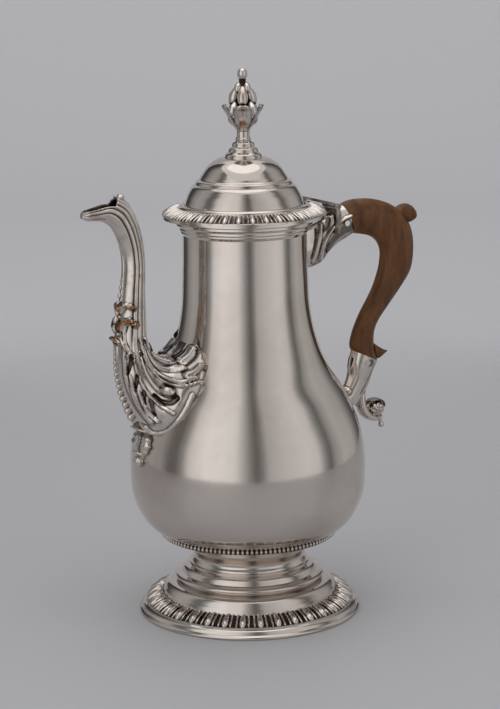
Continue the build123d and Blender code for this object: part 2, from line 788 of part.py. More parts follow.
scroll_centre = (83.4, rim_z - 117.5)
curl_foot = (scroll_centre[0], scroll_centre[1] - scroll_reach)
curl_head = (scroll_centre[0], scroll_centre[1] + scroll_reach)
inner_reach = scroll_reach - scroll_strap
inner_curl_foot = (scroll_centre[0], scroll_centre[1] - inner_reach)
inner_curl_head = (scroll_centre[0], scroll_centre[1] + inner_reach)
blade_points = [(76.6, rim_z - 97.0), (73.2, rim_z - 104.5), (72.2, rim_z - 112.0), (75.0, rim_z - 119.6)]
inner_blade_points = shifted(blade_points, -scroll_strap)
with BuildPart() as lower_socket:
    add(lofted_ovals(lower_socket_stations))
    add(tenon_hole(lower_end, lower_size, 1), mode=Mode.SUBTRACT)
    with BuildSketch(Plane.XZ):
        with BuildLine():
            Spline(*blade_points, curl_foot, tangents=[(-0.5, -1), (1, 0)])
            ThreePointArc(curl_foot, (scroll_centre[0] + scroll_reach, scroll_centre[1]), curl_head)
            Line(curl_head, inner_curl_head)
            ThreePointArc(
                inner_curl_head,
                (scroll_centre[0] + inner_reach, scroll_centre[1]),
                inner_curl_foot,
            )
            Spline(inner_curl_foot, *reversed(inner_blade_points), tangents=[(-1, 0), (0.5, 1)])
            Line(inner_blade_points[0], blade_points[0])
        make_face()
    extrude(amount=scroll_width / 2, both=True)
    add(body_blank.part, mode=Mode.SUBTRACT)
    with BuildSketch(lower_pin_plane):
        Circle(pin_radius)
    extrude(amount=handle_width, both=True, mode=Mode.SUBTRACT)
write(lower_socket.part, "lower_socket")

with BuildPart() as scroll_ball:
    with Locations((scroll_centre[0], 0, scroll_centre[1])):
        Sphere(inner_reach)
write(scroll_ball.part, "scroll_ball")


def handle_pin(plane, socket):
    """A rivet across a socket and its tenon, with a flat head against each side of the socket."""
    half_length = half + pin_head_height
    with BuildPart() as pin:
        with BuildSketch(plane):
            Circle(pin_head_radius)
        extrude(amount=half_length, both=True)
        with BuildSketch(plane):
            Circle(pin_head_radius * 2)
        extrude(amount=half - 1.2, both=True, mode=Mode.SUBTRACT)
        add(socket, mode=Mode.SUBTRACT)
        with BuildSketch(plane):
            Circle(pin_radius)
        extrude(amount=half_length, both=True)
    return pin.part


write(handle_pin(upper_pin_plane, upper_socket.part), "upper_handle_pin")
write(handle_pin(lower_pin_plane, lower_socket.part), "lower_handle_pin")

backplate_top = rim_z - mouth_height - 0.3
backplate_foot = rim_z - 31.0
with BuildPart() as handle_backplate:
    with BuildSketch(Plane.XY.offset(backplate_foot - 6)):
        Circle(neck_radius + backplate_sheet)
    extrude(amount=backplate_top - backplate_foot + 6)
    with BuildSketch(Plane.YZ):
        with BuildLine():
            edge = backplate_width / 2
            Line((0, backplate_top), (edge, backplate_top))
            Line((edge, backplate_top), (edge, backplate_foot + 4))
            Spline(
                (edge, backplate_foot + 4),
                (edge * 0.62, backplate_foot - 0.5),
                (0, backplate_foot - 3),
                tangents=[(0, -1), (-1, -0.6)],
            )
            Line((0, backplate_foot - 3), (0, backplate_top))
        make_face()
        mirror(about=Plane.YZ)
    extrude(amount=belly_radius, mode=Mode.INTERSECT)
    add(body_blank.part, mode=Mode.SUBTRACT)
    add(lofted_ovals(upper_socket_stations), mode=Mode.SUBTRACT)
write(handle_backplate.part, "handle_backplate")

# ================================================================ the hinge
hinge_bore_radius = hinge_pin_radius + hinge_pin_clearance
knuckle_start = knuckle_length / 2 + knuckle_gap
knuckle_end = knuckle_start + knuckle_length
hinge_plane = Plane(origin=(hinge_x, 0, hinge_z), x_dir=(1, 0, 0), z_dir=(0, -1, 0))
strap_foot_z = flange_ring_z + 0.9
with BuildPart() as lid_hinge_leaf:
    with BuildSketch(Plane.XZ):
        with BuildLine():
            Polyline(
                (drum_radius - 1.5, flange_ring_z),
                (flange_ring_radius, flange_ring_z),
                (flange_ring_radius + 1.4, strap_foot_z),
                (hinge_x - 1.4, hinge_z + 0.5),
                (hinge_x, hinge_z + knuckle_radius),
                (flange_ring_radius + 1.0, strap_foot_z + leaf_thickness + 0.3),
                (drum_radius - 1.5, strap_foot_z + leaf_thickness + 0.5),
                close=True,
            )
        make_face()
    extrude(amount=knuckle_end, both=True)
    with BuildSketch(Plane.XY.offset(hinge_z - 5)):
        with BuildLine():
            strap_end = hinge_x - knuckle_radius - 0.5
            Polyline(
                (drum_radius - 1.5, 0),
                (drum_radius - 1.5, leaf_root_width / 2),
                (drum_radius + 6, leaf_root_width / 2 + 0.6),
                (drum_radius + 13, knuckle_end * 0.72),
                (strap_end, knuckle_end),
                (strap_end, knuckle_length / 2),
                (hinge_x + knuckle_radius, knuckle_length / 2),
                (hinge_x + knuckle_radius, 0),
                close=True,
            )
        make_face()
        mirror(about=Plane.XZ)
    extrude(amount=20, mode=Mode.INTERSECT)
    with BuildSketch(hinge_plane):
        Circle(knuckle_radius)
    extrude(amount=knuckle_length / 2, both=True)
    with BuildSketch(hinge_plane):
        Circle(hinge_bore_radius)
    extrude(amount=knuckle_length, both=True, mode=Mode.SUBTRACT)
    with BuildSketch(Plane.XY.offset(flange_top_z)):
        Circle(drum_radius)
    extrude(amount=drum_height, mode=Mode.SUBTRACT)
write(lid_hinge_leaf.part, "lid_hinge_leaf")

with BuildPart() as body_hinge_leaf:
    with BuildSketch(Plane.XZ):
        with BuildLine():
            Polyline(
                (hinge_x - 0.9, hinge_z),
                (hinge_x + 1.2, hinge_z),
                (hinge_x + 2.2, hinge_z - 5.0),
                (hinge_x + 1.4, hinge_z - 15.0),
                (hinge_x - 2.2, hinge_z - 15.0),
                (hinge_x - 1.0, hinge_z - 5.0),
                close=True,
            )
        make_face()
    extrude(amount=knuckle_end, both=True)
    for side in (-1, 1):
        with BuildSketch(hinge_plane.offset(side * (knuckle_start + knuckle_length / 2))):
            Circle(knuckle_radius)
        extrude(amount=knuckle_length / 2, both=True)
    with BuildSketch(hinge_plane):
        Circle(knuckle_radius + knuckle_gap)
        with Locations((0, knuckle_radius)):
            Rectangle(2 * knuckle_radius + 2 * knuckle_gap, 2 * knuckle_radius)
    extrude(amount=knuckle_start, both=True, mode=Mode.SUBTRACT)
    with BuildSketch(hinge_plane):
        Circle(hinge_pin_radius)
    extrude(amount=2 * knuckle_end, both=True, mode=Mode.SUBTRACT)
    add(lofted_ovals(upper_socket_stations), mode=Mode.SUBTRACT)
write(body_hinge_leaf.part, "body_hinge_leaf")

with BuildPart() as hinge_pin:
    with BuildSketch(hinge_plane):
        Circle(hinge_pin_radius)
    extrude(amount=knuckle_end + 0.3, both=True)
write(hinge_pin.part, "hinge_pin")


# ================================================================ the spout
# back point and front point of the spout's sections, from inside the body to the mouth, and half widths
spout_stations = (
    ((33.1 - belly_radius, rim_z - 59.5), (13.1 - belly_radius, rim_z - 118.5), 27.0),
    ((23.5 - belly_radius, rim_z - 69.0), (3.6 - belly_radius, rim_z - 114.5), 25.5),
    ((16.7 - belly_radius, rim_z - 72.3), (-belly_radius - 2.9, rim_z - 104.0), 18.5),
    ((9.7 - belly_radius, rim_z - 69.4), (-belly_radius - 9.5, rim_z - 89.0), 12.6),
    ((5.9 - belly_radius, rim_z - 61.5), (-belly_radius - 12.3, rim_z - 75.0), 9.4),
    ((5.3 - belly_radius, rim_z - 50.0), (-belly_radius - 11.5, rim_z - 55.0), 8.2),
    ((5.2 - belly_radius, rim_z - 33.0), (-belly_radius - 8.7, rim_z - 35.5), 7.2),
    ((5.5 - belly_radius, rim_z - 16.0), (-belly_radius - 7.3, rim_z - 15.4), 6.8),
    ((4.1 - belly_radius, rim_z - 4.0), (-belly_radius - 9.1, rim_z - 7.0), 6.8),
    ((0.5 - belly_radius, rim_z + 7.6), (-belly_radius - 11.9, rim_z - 1.4), 6.8),
    ((-belly_radius - 4.5, rim_z + 14.4), (-belly_radius - 14.7, rim_z + 3.0), 6.8),
    ((-belly_radius - 10.9, rim_z + 17.6), (-belly_radius - 18.1, rim_z + 6.4), 6.4),
    ((-belly_radius - 19.9, rim_z + 14.0), (-belly_radius - 22.5, rim_z + 7.4), 5.2),
    ((-belly_radius - 30.3, rim_z + 10.6), (-belly_radius - 30.7, rim_z + 8.8), 2.4),
)
hood_station = 11
beak_rim = (
    (-belly_radius - 12.1, rim_z + 30.0),
    (-belly_radius - 12.7, rim_z + 10.8),
    (-belly_radius - 31.9, rim_z + 9.9),
    (-belly_radius - 31.9, rim_z + 30.0),
)


def fluted_section(half_long, half_short):
    """An oval drawn as shallow flutes between ridges."""
    for flute in range(flute_count):
        angles = [math.pi / flute_count * (2 * flute + step) for step in range(3)]
        depths = (1, 1 - flute_depth, 1)
        ThreePointArc(
            *[
                (half_long * deep * math.cos(turn), half_short * deep * math.sin(turn))
                for turn, deep in zip(angles, depths)
            ]
        )


with BuildPart() as spout_blank:
    for back, front, half_width in spout_stations:
        with BuildSketch(cross_plane(back, front)):
            with BuildLine():
                fluted_section(math.dist(back, front) / 2, half_width)
            make_face()
    loft()

with BuildPart() as spout_bore:
    for back, front, half_width in spout_stations[: hood_station + 1]:
        with BuildSketch(cross_plane(back, front)):
            with BuildLine():
                draw_oval(
                    math.dist(back, front) / 2 * (1 - flute_depth) - spout_wall,
                    half_width * (1 - flute_depth) - spout_wall,
                )
            make_face()
    for back, front, half_width in (
        ((-belly_radius - 21.4, rim_z + 14.0), (-belly_radius - 23.3, rim_z + 8.9), 4.0),
        ((-belly_radius - 29.3, rim_z + 11.4), (-belly_radius - 29.5, rim_z + 9.8), 1.4),
    ):
        with BuildSketch(cross_plane(back, front)):
            with BuildLine():
                draw_oval(math.dist(back, front) / 2, half_width)
            make_face()
    loft()

with BuildLine() as front_ridge:
    Spline(*[front for back, front, half_width in spout_stations[1:8]])


def bead_chain(first_share, last_share, count, first_radius, last_radius):
    """Beads that grow down the spout's front ridge."""
    for index in range(count):
        share = index / (count - 1)
        radius = first_radius + (last_radius - first_radius) * share
        way_down = 0.75 * share + 0.25 * share**2
        place = front_ridge.line @ (first_share + (last_share - first_share) * way_down)
        with Locations((place.X, 0, place.Y)):
            Sphere(radius)


with BuildPart() as spout:
    add(spout_blank.part)
    add(spout_bore.part, mode=Mode.SUBTRACT)
    with BuildSketch(Plane.XZ):
        with BuildLine():
            Polyline(*beak_rim, close=True)
        make_face()
    extrude(amount=20, both=True, mode=Mode.SUBTRACT)
    add(body_blank.part, mode=Mode.SUBTRACT)
write(spout.part, "spout")

with BuildPart() as spout_beads:
    bead_chain(0.80, 0.52, upper_bead_count, 0.8, 1.5)
    bead_chain(0.44, 0.05, lower_bead_count, 0.9, 2.1)
    add(spout_blank.part, mode=Mode.SUBTRACT)
    add(body_blank.part, mode=Mode.SUBTRACT)
write(spout_beads.part, "spout_beads")

with BuildPart() as spout_drop:
    drop_top = (5.1 - belly_radius, rim_z - 113.5)
    drop_end = (-belly_radius - 2.5, rim_z - 132.0)
    drop_length = math.dist(drop_top, drop_end)
    down = ((drop_end[0] - drop_top[0]) / drop_length, 0, (drop_end[1] - drop_top[1]) / drop_length)
    drop_plane = Plane(origin=(drop_top[0], 0, drop_top[1]), x_dir=down, z_dir=(0, -1, 0))
    with BuildSketch(drop_plane):
        with BuildLine():
            drop_neck = (drop_length * 0.78, drop_radius * 0.4)
            Line((0, 0), (0, drop_radius * 0.7))
            Spline((0, drop_radius * 0.7), (drop_length * 0.33, drop_radius), drop_neck)
            Polyline(drop_neck, (drop_length * 0.78, 0), (0, 0))
        make_face()
    revolve(axis=Axis(drop_plane.origin, down))
    with Locations(drop_plane.origin + drop_plane.x_dir * (drop_length - drop_ball_radius)):
        Sphere(drop_ball_radius)
    add(body_blank.part, mode=Mode.SUBTRACT)
    add(spout_blank.part, mode=Mode.SUBTRACT)
write(spout_drop.part, "spout_drop")
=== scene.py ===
"""The silver coffee pot's finished looks: polished, plated silver with copper showing through on the worn
ornament, and a waxed fruitwood handle. Metres, +Z up; the spout points along -X and the handle along +X."""

import math

import bmesh
import bpy
import numpy as np
from mathutils import Matrix, Quaternion, Vector
from mathutils.geometry import interpolate_bezier


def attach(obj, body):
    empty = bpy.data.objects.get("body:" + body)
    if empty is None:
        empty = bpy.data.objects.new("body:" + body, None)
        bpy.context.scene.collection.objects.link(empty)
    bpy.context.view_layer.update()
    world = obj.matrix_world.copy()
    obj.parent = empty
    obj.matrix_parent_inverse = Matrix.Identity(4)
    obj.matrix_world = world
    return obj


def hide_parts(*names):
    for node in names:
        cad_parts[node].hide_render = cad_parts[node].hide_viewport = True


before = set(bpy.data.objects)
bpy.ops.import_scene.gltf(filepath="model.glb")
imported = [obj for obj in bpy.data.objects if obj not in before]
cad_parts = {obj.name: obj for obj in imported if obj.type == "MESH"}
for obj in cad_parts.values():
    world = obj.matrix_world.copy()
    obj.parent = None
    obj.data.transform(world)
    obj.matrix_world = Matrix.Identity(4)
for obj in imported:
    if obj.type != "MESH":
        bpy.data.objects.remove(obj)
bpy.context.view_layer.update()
scene = bpy.context.scene

MM = 0.001


# -------- materials
def linear(red, green, blue):
    """A colour written as 0-255 screen values."""
    shares = (red / 255, green / 255, blue / 255)
    return (*[s / 12.92 if s < 0.04045 else ((s + 0.055) / 1.055) ** 2.4 for s in shares], 1.0)


class Finish:
    """A node material with its Principled shader and short ways to add and feed nodes."""

    def __init__(self, name, metallic=0.0, roughness=0.5):
        self.material = bpy.data.materials.new(name)
        self.material.use_nodes = True
        self.tree = self.material.node_tree
        self.shader = self.tree.nodes["Principled BSDF"]
        self.surface({"Metallic": metallic, "Roughness": roughness})

    def feed(self, node, values):
        """Sets some of a node's inputs, each to a plain value or to another node's output."""
        for entry, value in values.items():
            if isinstance(value, bpy.types.NodeSocket):
                self.tree.links.new(value, node.inputs[entry])
            else:
                node.inputs[entry].default_value = value

    def surface(self, values):
        """Feeds the Principled shader and hands over the material."""
        self.feed(self.shader, values)
        return self.material

    def add(self, kind, values, **settings):
        node = self.tree.nodes.new(kind)
        for name, value in settings.items():
            setattr(node, name, value)
        self.feed(node, values)
        return node

    def place(self, stretch=(1, 1, 1)):
        """Object coordinates, stretched along the axes."""
        spot = self.add("ShaderNodeTexCoord", {}).outputs["Object"]
        return self.add("ShaderNodeMapping", {"Vector": spot, "Scale": stretch}).outputs["Vector"]

    def noise(self, scale, detail=3.0, rough=0.55, stretch=(1, 1, 1), distortion=0.0):
        values = {"Scale": scale, "Detail": detail, "Roughness": rough, "Distortion": distortion}
        return self.add("ShaderNodeTexNoise", {"Vector": self.place(stretch), **values}).outputs["Fac"]

    def between(self, value, low, high, start=0.0, end=1.0):
        """Runs from start to end while value goes from low to high."""
        ends = {"From Min": low, "From Max": high, "To Min": start, "To Max": end}
        return self.add("ShaderNodeMapRange", {"Value": value, **ends}).outputs["Result"]

    def combine(self, operation, first, second):
        return self.add("ShaderNodeMath", {0: first, 1: second}, operation=operation).outputs["Value"]

    def blend(self, share, first, second):
        """A colour between two others."""
        return self.add("ShaderNodeMix", {"Factor": share, 6: first, 7: second}, data_type="RGBA").outputs[2]

    def bump(self, height, distance, **under):
        return self.add("ShaderNodeBump", {"Height": height, "Distance": distance, **under}).outputs["Normal"]


BRIGHT = linear(214, 206, 199)
TARNISH = linear(188, 176, 168)
COPPER = linear(172, 122, 90)
# near-black tarnish and painted shade for the ornament's hollows and undersides
HOLLOW_TARNISH_AND_SHADE = linear(52, 44, 42)


def polished_silver(name, planish=0.5):
    """Hand-planished silver plate, softly polished, with a breath of tarnish."""
    finish = Finish(name, metallic=1.0)
    cloud = finish.noise(14, detail=4, rough=0.6)
    wiped = finish.noise(60, detail=5, rough=0.65)
    hammered = finish.noise(9, detail=1.0, stretch=(1, 1, 0.45))
    waves = finish.bump(hammered, 0.0016 * planish)
    scratches = finish.noise(900, detail=2, stretch=(1, 1, 0.3))
    return finish.surface({
        "Base Color": finish.blend(finish.between(cloud, 0.45, 0.75), BRIGHT, TARNISH),
        "Roughness": finish.between(wiped, 0.3, 0.7, 0.07, 0.14),
        "Normal": finish.bump(scratches, 0.000012, Normal=waves),
    })


def worn_silver(name):
    """Ornament whose silver is rubbed through to the copper in places, and painted dark with tarnish and shade
    where its vertex marks fall below 0, in hollows and undersides.
    """
    finish = Finish(name, metallic=1.0)
    cloud = finish.noise(180, detail=3, rough=0.6)
    tone = finish.blend(finish.between(cloud, 0.5, 0.75), BRIGHT, TARNISH)
    rubbed = finish.noise(75, detail=4, rough=0.7)
    stray = finish.between(rubbed, 0.63, 0.75)
    rub_and_shade = finish.add("ShaderNodeAttribute", {}, attribute_name="wear_and_shade").outputs["Fac"]
    patchy = finish.combine("MULTIPLY", rub_and_shade, finish.between(rubbed, 0.3, 0.6, 0.4, 1.3))
    crest = finish.between(patchy, 0.35, 0.8)
    coppery = finish.blend(finish.combine("MAXIMUM", stray, crest), tone, COPPER)
    return finish.surface({
        # painted shade: vertices marked below 0 blend towards the near-black tarnish, in place of the shade in
        # hollows and undersides
        "Base Color": finish.blend(finish.between(rub_and_shade, -0.05, -0.8), coppery, HOLLOW_TARNISH_AND_SHADE),
        "Roughness": finish.between(cloud, 0.3, 0.7, 0.1, 0.2),
        "Normal": finish.bump(finish.noise(600, detail=2), 0.00003),
    })


def waxed_fruitwood(name):
    """Brown fruitwood with grain that follows the handle, darker in its pores."""
    finish = Finish(name)
    grain = finish.noise(34, detail=6, rough=0.6, stretch=(5, 7, 0.9), distortion=0.4)
    tone = finish.blend(finish.between(grain, 0.3, 0.7), linear(126, 82, 44), linear(74, 46, 24))
    pores = finish.noise(420, detail=3, stretch=(5, 5, 0.35))
    return finish.surface({
        "Base Color": finish.blend(finish.between(pores, 0.58, 0.72, 0.0, 0.5), tone, linear(34, 20, 11)),
        "Roughness": finish.between(grain, 0.3, 0.7, 0.36, 0.5),
        "Specular IOR Level": 0.3,
        "Normal": finish.bump(pores, 0.00006),
    })


def pin_brass(name):
    """Pale brass, dulled a little."""
    finish = Finish(name, metallic=1.0)
    cloud = finish.noise(500, detail=3)
    dulled = finish.between(cloud, 0.35, 0.7)
    return finish.surface({
        "Base Color": finish.blend(dulled, linear(222, 208, 186), linear(176, 156, 130)),
        "Roughness": finish.between(cloud, 0.3, 0.7, 0.2, 0.34),
    })


def tarnished_plate(name, dark, light, roughness):
    """Plate that polishing seldom reaches, brown and dull."""
    finish = Finish(name, metallic=1.0, roughness=roughness)
    cloud = finish.noise(160, detail=4)
    return finish.surface({"Base Color": finish.blend(finish.between(cloud, 0.35, 0.7), dark, light)})


silver = polished_silver("polished silver")
plain_silver = polished_silver("turned silver", planish=0.12)
worn = worn_silver("worn silver ornament")
wood = waxed_fruitwood("waxed fruitwood")
brass = pin_brass("pin metal")
tarnished = tarnished_plate("tarnished inside", linear(64, 52, 44), linear(104, 86, 72), 0.45)
hinge_silver = tarnished_plate("tarnished hinge", linear(84, 74, 70), linear(170, 158, 150), 0.22)

ORNAMENT = (
    "foot_gadroon_border", "milled_wire", "lid_gadroon_border", "spout", "spout_beads", "spout_drop",
    "finial_leaf_cup", "finial_bud",
)
finishes = {
    "body_vessel": silver,
    "handle": wood,
    **dict.fromkeys(ORNAMENT, worn),
    **dict.fromkeys(("finial_screw", "finial_nut"), brass),
    **dict.fromkeys(("hinge_pin", "lid_hinge_leaf", "body_hinge_leaf"), hinge_silver),
}
for name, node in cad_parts.items():
    node.data.materials.clear()
    node.data.materials.append(finishes.get(name, plain_silver))


# -------- shaping tools
def finished_mesh(form, name, material, crease=35, unit=MM):
    """Turns a bmesh into a smooth object at the origin, sharp where it bends by over crease degrees."""
    bmesh.ops.scale(form, verts=form.verts, vec=(unit, unit, unit))
    mesh = bpy.data.meshes.new(name)
    for face in form.faces:
        face.smooth = True
    form.to_mesh(mesh)
    form.free()
    mesh.set_sharp_from_angle(angle=math.radians(crease))
    mesh.materials.append(material)
    piece = bpy.data.objects.new(name, mesh)
    scene.collection.objects.link(piece)
    return piece


def dressed(piece, body, slot, *nodes):
    """Lets a finished piece ride on its body, in place of the plain nodes it stands for."""
    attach(piece, body)
    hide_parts(*nodes)


def curve_through(points, start=None, end=None, steps=6):
    """A smooth run through a few points of any dimension, in millimetres, with optional end directions."""
    knots = [Vector((*point, 0.0)) if len(point) == 2 else Vector(point) for point in points]
    last = len(knots) - 1
    ways = []
    for index, knot in enumerate(knots):
        before, after = knots[max(index - 1, 0)], knots[min(index + 1, last)]
        way = (after - before).normalized()
        if 0 < index < last:
            near, far = (knot - before).length, (after - knot).length
            way = ((knot - before) / near * far + (after - knot) / far * near).normalized()
        ways.append(way)
    if start is not None:
        ways[0] = Vector((*start, 0.0)).normalized()
    if end is not None:
        ways[-1] = Vector((*end, 0.0)).normalized()
    run = [knots[0]]
    for index in range(last):
        reach = (knots[index + 1] - knots[index]).length / 3
        first, second = knots[index], knots[index + 1]
        handles = first + ways[index] * reach, second - ways[index + 1] * reach
        run += interpolate_bezier(first, *handles, second, steps + 1)[1:]
    return run


def arc_through(start, end, bulge, steps=6):
    """A shallow arc whose middle stands bulge off its chord, to the left of the way it runs."""
    first, last = Vector((*start, 0.0)), Vector((*end, 0.0))
    side = Vector((first.y - last.y, last.x - first.x, 0.0)).normalized()
    return curve_through([start, ((first + last) / 2 + side * bulge)[:2], end], steps=steps)


def beside(run, gap):
    """The points that lie a gap to the right of a run."""
    shifted = []
    for index, point in enumerate(run):
        way = (run[min(index + 1, len(run) - 1)] - run[max(index - 1, 0)]).normalized()
        shifted.append(point + Vector((way.y, -way.x, 0)) * gap)
    return shifted


def spun(form, outline, segments):
    """Spins a closed outline of (radius, height) round the pot's axis."""
    row = []
    for point in outline:
        if not row or (Vector((point[0], 0, point[1])) - row[-1].co).length > 1e-3:
            row.append(form.verts.new((point[0], 0, point[1])))
    edges = [form.edges.new((row[index - 1], row[index])) for index in range(len(row))]
    bmesh.ops.spin(
        form, geom=row + edges, cent=(0, 0, 0), axis=(0, 0, 1), angle=math.tau, steps=segments, use_merge=True
    )
    bmesh.ops.remove_doubles(form, verts=form.verts, dist=1e-4)
    bmesh.ops.recalc_face_normals(form, faces=form.faces)


def turned(name, outline, material, segments=144, crease=35):
    """A piece turned on the pot's axis."""
    form = bmesh.new()
    spun(form, outline, segments)
    return finished_mesh(form, name, material, crease)


def lean_by(form, made, degrees, axis="Y"):
    """Turns some vertices about an axis through the origin."""
    bmesh.ops.rotate(form, verts=made, cent=(0, 0, 0), matrix=Matrix.Rotation(math.radians(degrees), 3, axis))


def add_ball(form, size, middle, shape=None, lean=0, divisions=3, rings=None):
    """An ellipsoid of three half sizes, shaped while it is a unit ball, then leant and placed."""
    if rings:
        made = bmesh.ops.create_uvsphere(form, u_segments=rings[0], v_segments=rings[1], radius=1.0)["verts"]
    else:
        made = bmesh.ops.create_icosphere(form, subdivisions=divisions, radius=1.0)["verts"]
    if shape:
        for vertex in made:
            shape(vertex)
    bmesh.ops.scale(form, verts=made, vec=size)
    lean_by(form, made, lean)
    bmesh.ops.translate(form, verts=made, vec=middle)
    return made


# -------- the foot
RIM_WIRE_RADIUS, RIM_WIRE_TOP = 62.6, 2.6
APRON_RADIUS, LEDGE_RADIUS, LEDGE = 61.0, 58.9, 5.4
RISER_RADIUS, RISER_TOP = 48.8, 12.6
COVER_RADIUS, COVER_TOP = 40.6, 18.2
TORUS_RADIUS, TORUS_TOP = 42.0, 22.9
STEP_RADIUS, STEP_TOP = 38.0, 27.2
REED_RADIUS, REED_TOP = 33.8, 28.5
THROAT_RADIUS = 31.0
FLANGE_RADIUS, FLANGE_LOW, SEAT = 47.6, 44.4, 46.6
FOOT_SHEET = 1.2

rim_bulge = [(RIM_WIRE_RADIUS - 0.6, 0.02), (RIM_WIRE_RADIUS, 1.1), (RIM_WIRE_RADIUS - 1.1, RIM_WIRE_TOP)]
rim_wire_outline = [
    (RIM_WIRE_RADIUS - 3.0, 0.0),
    (RIM_WIRE_RADIUS - 0.6, 0.0),
    *curve_through(rim_bulge, steps=5),
    (RIM_WIRE_RADIUS - 3.0, RIM_WIRE_TOP),
]
dressed(turned("foot_wire", rim_wire_outline, plain_silver), "pot", "silver", "foot_rim_wire")

throat = [
    (REED_RADIUS - 1.4, REED_TOP), (THROAT_RADIUS, 31.4), (THROAT_RADIUS + 1.7, 35.4),
    (THROAT_RADIUS + 5.7, 39.1), (THROAT_RADIUS + 11.0, 42.9), (FLANGE_RADIUS, FLANGE_LOW),
]
inner_foot = [
    (FLANGE_RADIUS - 11.0, SEAT), (THROAT_RADIUS + 3.6, 40.2),
    (THROAT_RADIUS + 0.3, 35.7), (THROAT_RADIUS - FOOT_SHEET, 31.4),
    (REED_RADIUS - 1.4 - FOOT_SHEET, REED_TOP), (REED_RADIUS - FOOT_SHEET - 0.6, STEP_TOP),
    (STEP_RADIUS - FOOT_SHEET - 0.4, TORUS_TOP), (TORUS_RADIUS - FOOT_SHEET - 2.0, COVER_TOP),
    (RISER_RADIUS - FOOT_SHEET - 1.6, RISER_TOP), (RISER_RADIUS - FOOT_SHEET - 1.6, LEDGE - FOOT_SHEET),
    (LEDGE_RADIUS - FOOT_SHEET, LEDGE - FOOT_SHEET), (APRON_RADIUS - FOOT_SHEET, RIM_WIRE_TOP),
]
foot_outline = [
    *arc_through((APRON_RADIUS, RIM_WIRE_TOP), (LEDGE_RADIUS, LEDGE), -0.5),
    (RISER_RADIUS, LEDGE),
    *arc_through((RISER_RADIUS, RISER_TOP), (COVER_RADIUS, COVER_TOP), -2.0, steps=8),
    *curve_through(
        [(COVER_RADIUS, COVER_TOP), (TORUS_RADIUS, (COVER_TOP + TORUS_TOP) / 2), (STEP_RADIUS, TORUS_TOP)],
        start=(1, 0.5), end=(-1, 0.35), steps=8,
    ),
    *arc_through((STEP_RADIUS, TORUS_TOP), (REED_RADIUS, STEP_TOP), -1.2),
    *arc_through((REED_RADIUS, STEP_TOP), (REED_RADIUS - 0.4, REED_TOP), -0.4, steps=4),
    *curve_through(throat, start=(-0.3, 1), end=(1, 0.1)),
    (FLANGE_RADIUS, SEAT),
    *inner_foot,
]
dressed(turned("foot", foot_outline, plain_silver), "pot", "silver", "foot_shell")

# -------- the body
BODY_SHEET = 1.0
NECK_RADIUS, BELLY_RADIUS = 34.4, 66.1
RIM = 222.0
BASE_OPENING = 36.0
body_side = [
    (NECK_RADIUS, RIM - 9.0), (NECK_RADIUS + 0.57, 189.9), (NECK_RADIUS + 1.27, 175.0),
    (NECK_RADIUS + 3.49, 161.4), (NECK_RADIUS + 8.81, 144.9), (NECK_RADIUS + 20.51, 124.9),
    (NECK_RADIUS + 28.91, 105.0), (BELLY_RADIUS, 81.3), (BELLY_RADIUS - 1.35, 67.2),
    (BELLY_RADIUS - 5.20, 58.0), (BELLY_RADIUS - 10.3, 51.2), (BELLY_RADIUS - 15.0, 47.9),
    (48.0, SEAT),
]
side = curve_through(body_side, start=(0, -1), end=(-1, -0.2), steps=8)
body_outline = [
    (NECK_RADIUS, RIM),
    *side,
    (BASE_OPENING, SEAT),
    (BASE_OPENING, SEAT + BODY_SHEET),
    *[point for point in reversed(beside(side, BODY_SHEET)) if point.y > SEAT + BODY_SHEET],
    (NECK_RADIUS - BODY_SHEET, RIM),
]
dressed(turned("body", body_outline, silver, segments=192), "pot", "silver", "body_vessel", "body_neck")

# -------- the gadroon borders
def wear_and_shade_layer(form):
    """How far each vertex is rubbed through to the copper, above 0, and how dark it is painted with tarnish
    and shade, below 0; read by the ornament's finish.
    """
    return form.verts.layers.float.get("wear_and_shade") or form.verts.layers.float.new("wear_and_shade")


def add_lobe(form, long, wide, high, taper, wear_and_shade, sides):
    """An egg-shaped lobe along X at the origin, broader at its outer end, rubbed on its inner crest and
    painted dark with shade low on its flanks.
    """
    layer = wear_and_shade_layer(form)
    made = bmesh.ops.create_uvsphere(form, u_segments=sides, v_segments=14, radius=1.0)["verts"]
    lean_by(form, made, 90)
    for vertex in made:
        along, crest = vertex.co.x, vertex.co.z
        rubbed = wear_and_shade * max(0.0, crest) * max(0.0, 1 - abs(along + 0.3) / 0.7)
        # painted shade: the lobe's lower flanks are marked dark
        vertex[layer] = rubbed - 0.7 * max(0.0, 0.5 - crest)
        vertex.co.y *= 1 + taper * along
    bmesh.ops.scale(form, verts=made, vec=(long / 2, wide / 2, high))
    return made


def ringed(form, made, count):
    """Repeats some vertices round the axis."""
    faces = {face for vertex in made for face in vertex.link_faces}
    edges = {edge for vertex in made for edge in vertex.link_edges}
    bmesh.ops.spin(
        form, geom=[*made, *edges, *faces], cent=(0, 0, 0), axis=(0, 0, 1), use_duplicate=True,
        angle=math.tau * (count - 1) / count, steps=count - 1,
    )


GADROONS = 36
REED_PLACES = (0.335, 0.665)  # of the two reeds between a lobe and the next, in shares of the way


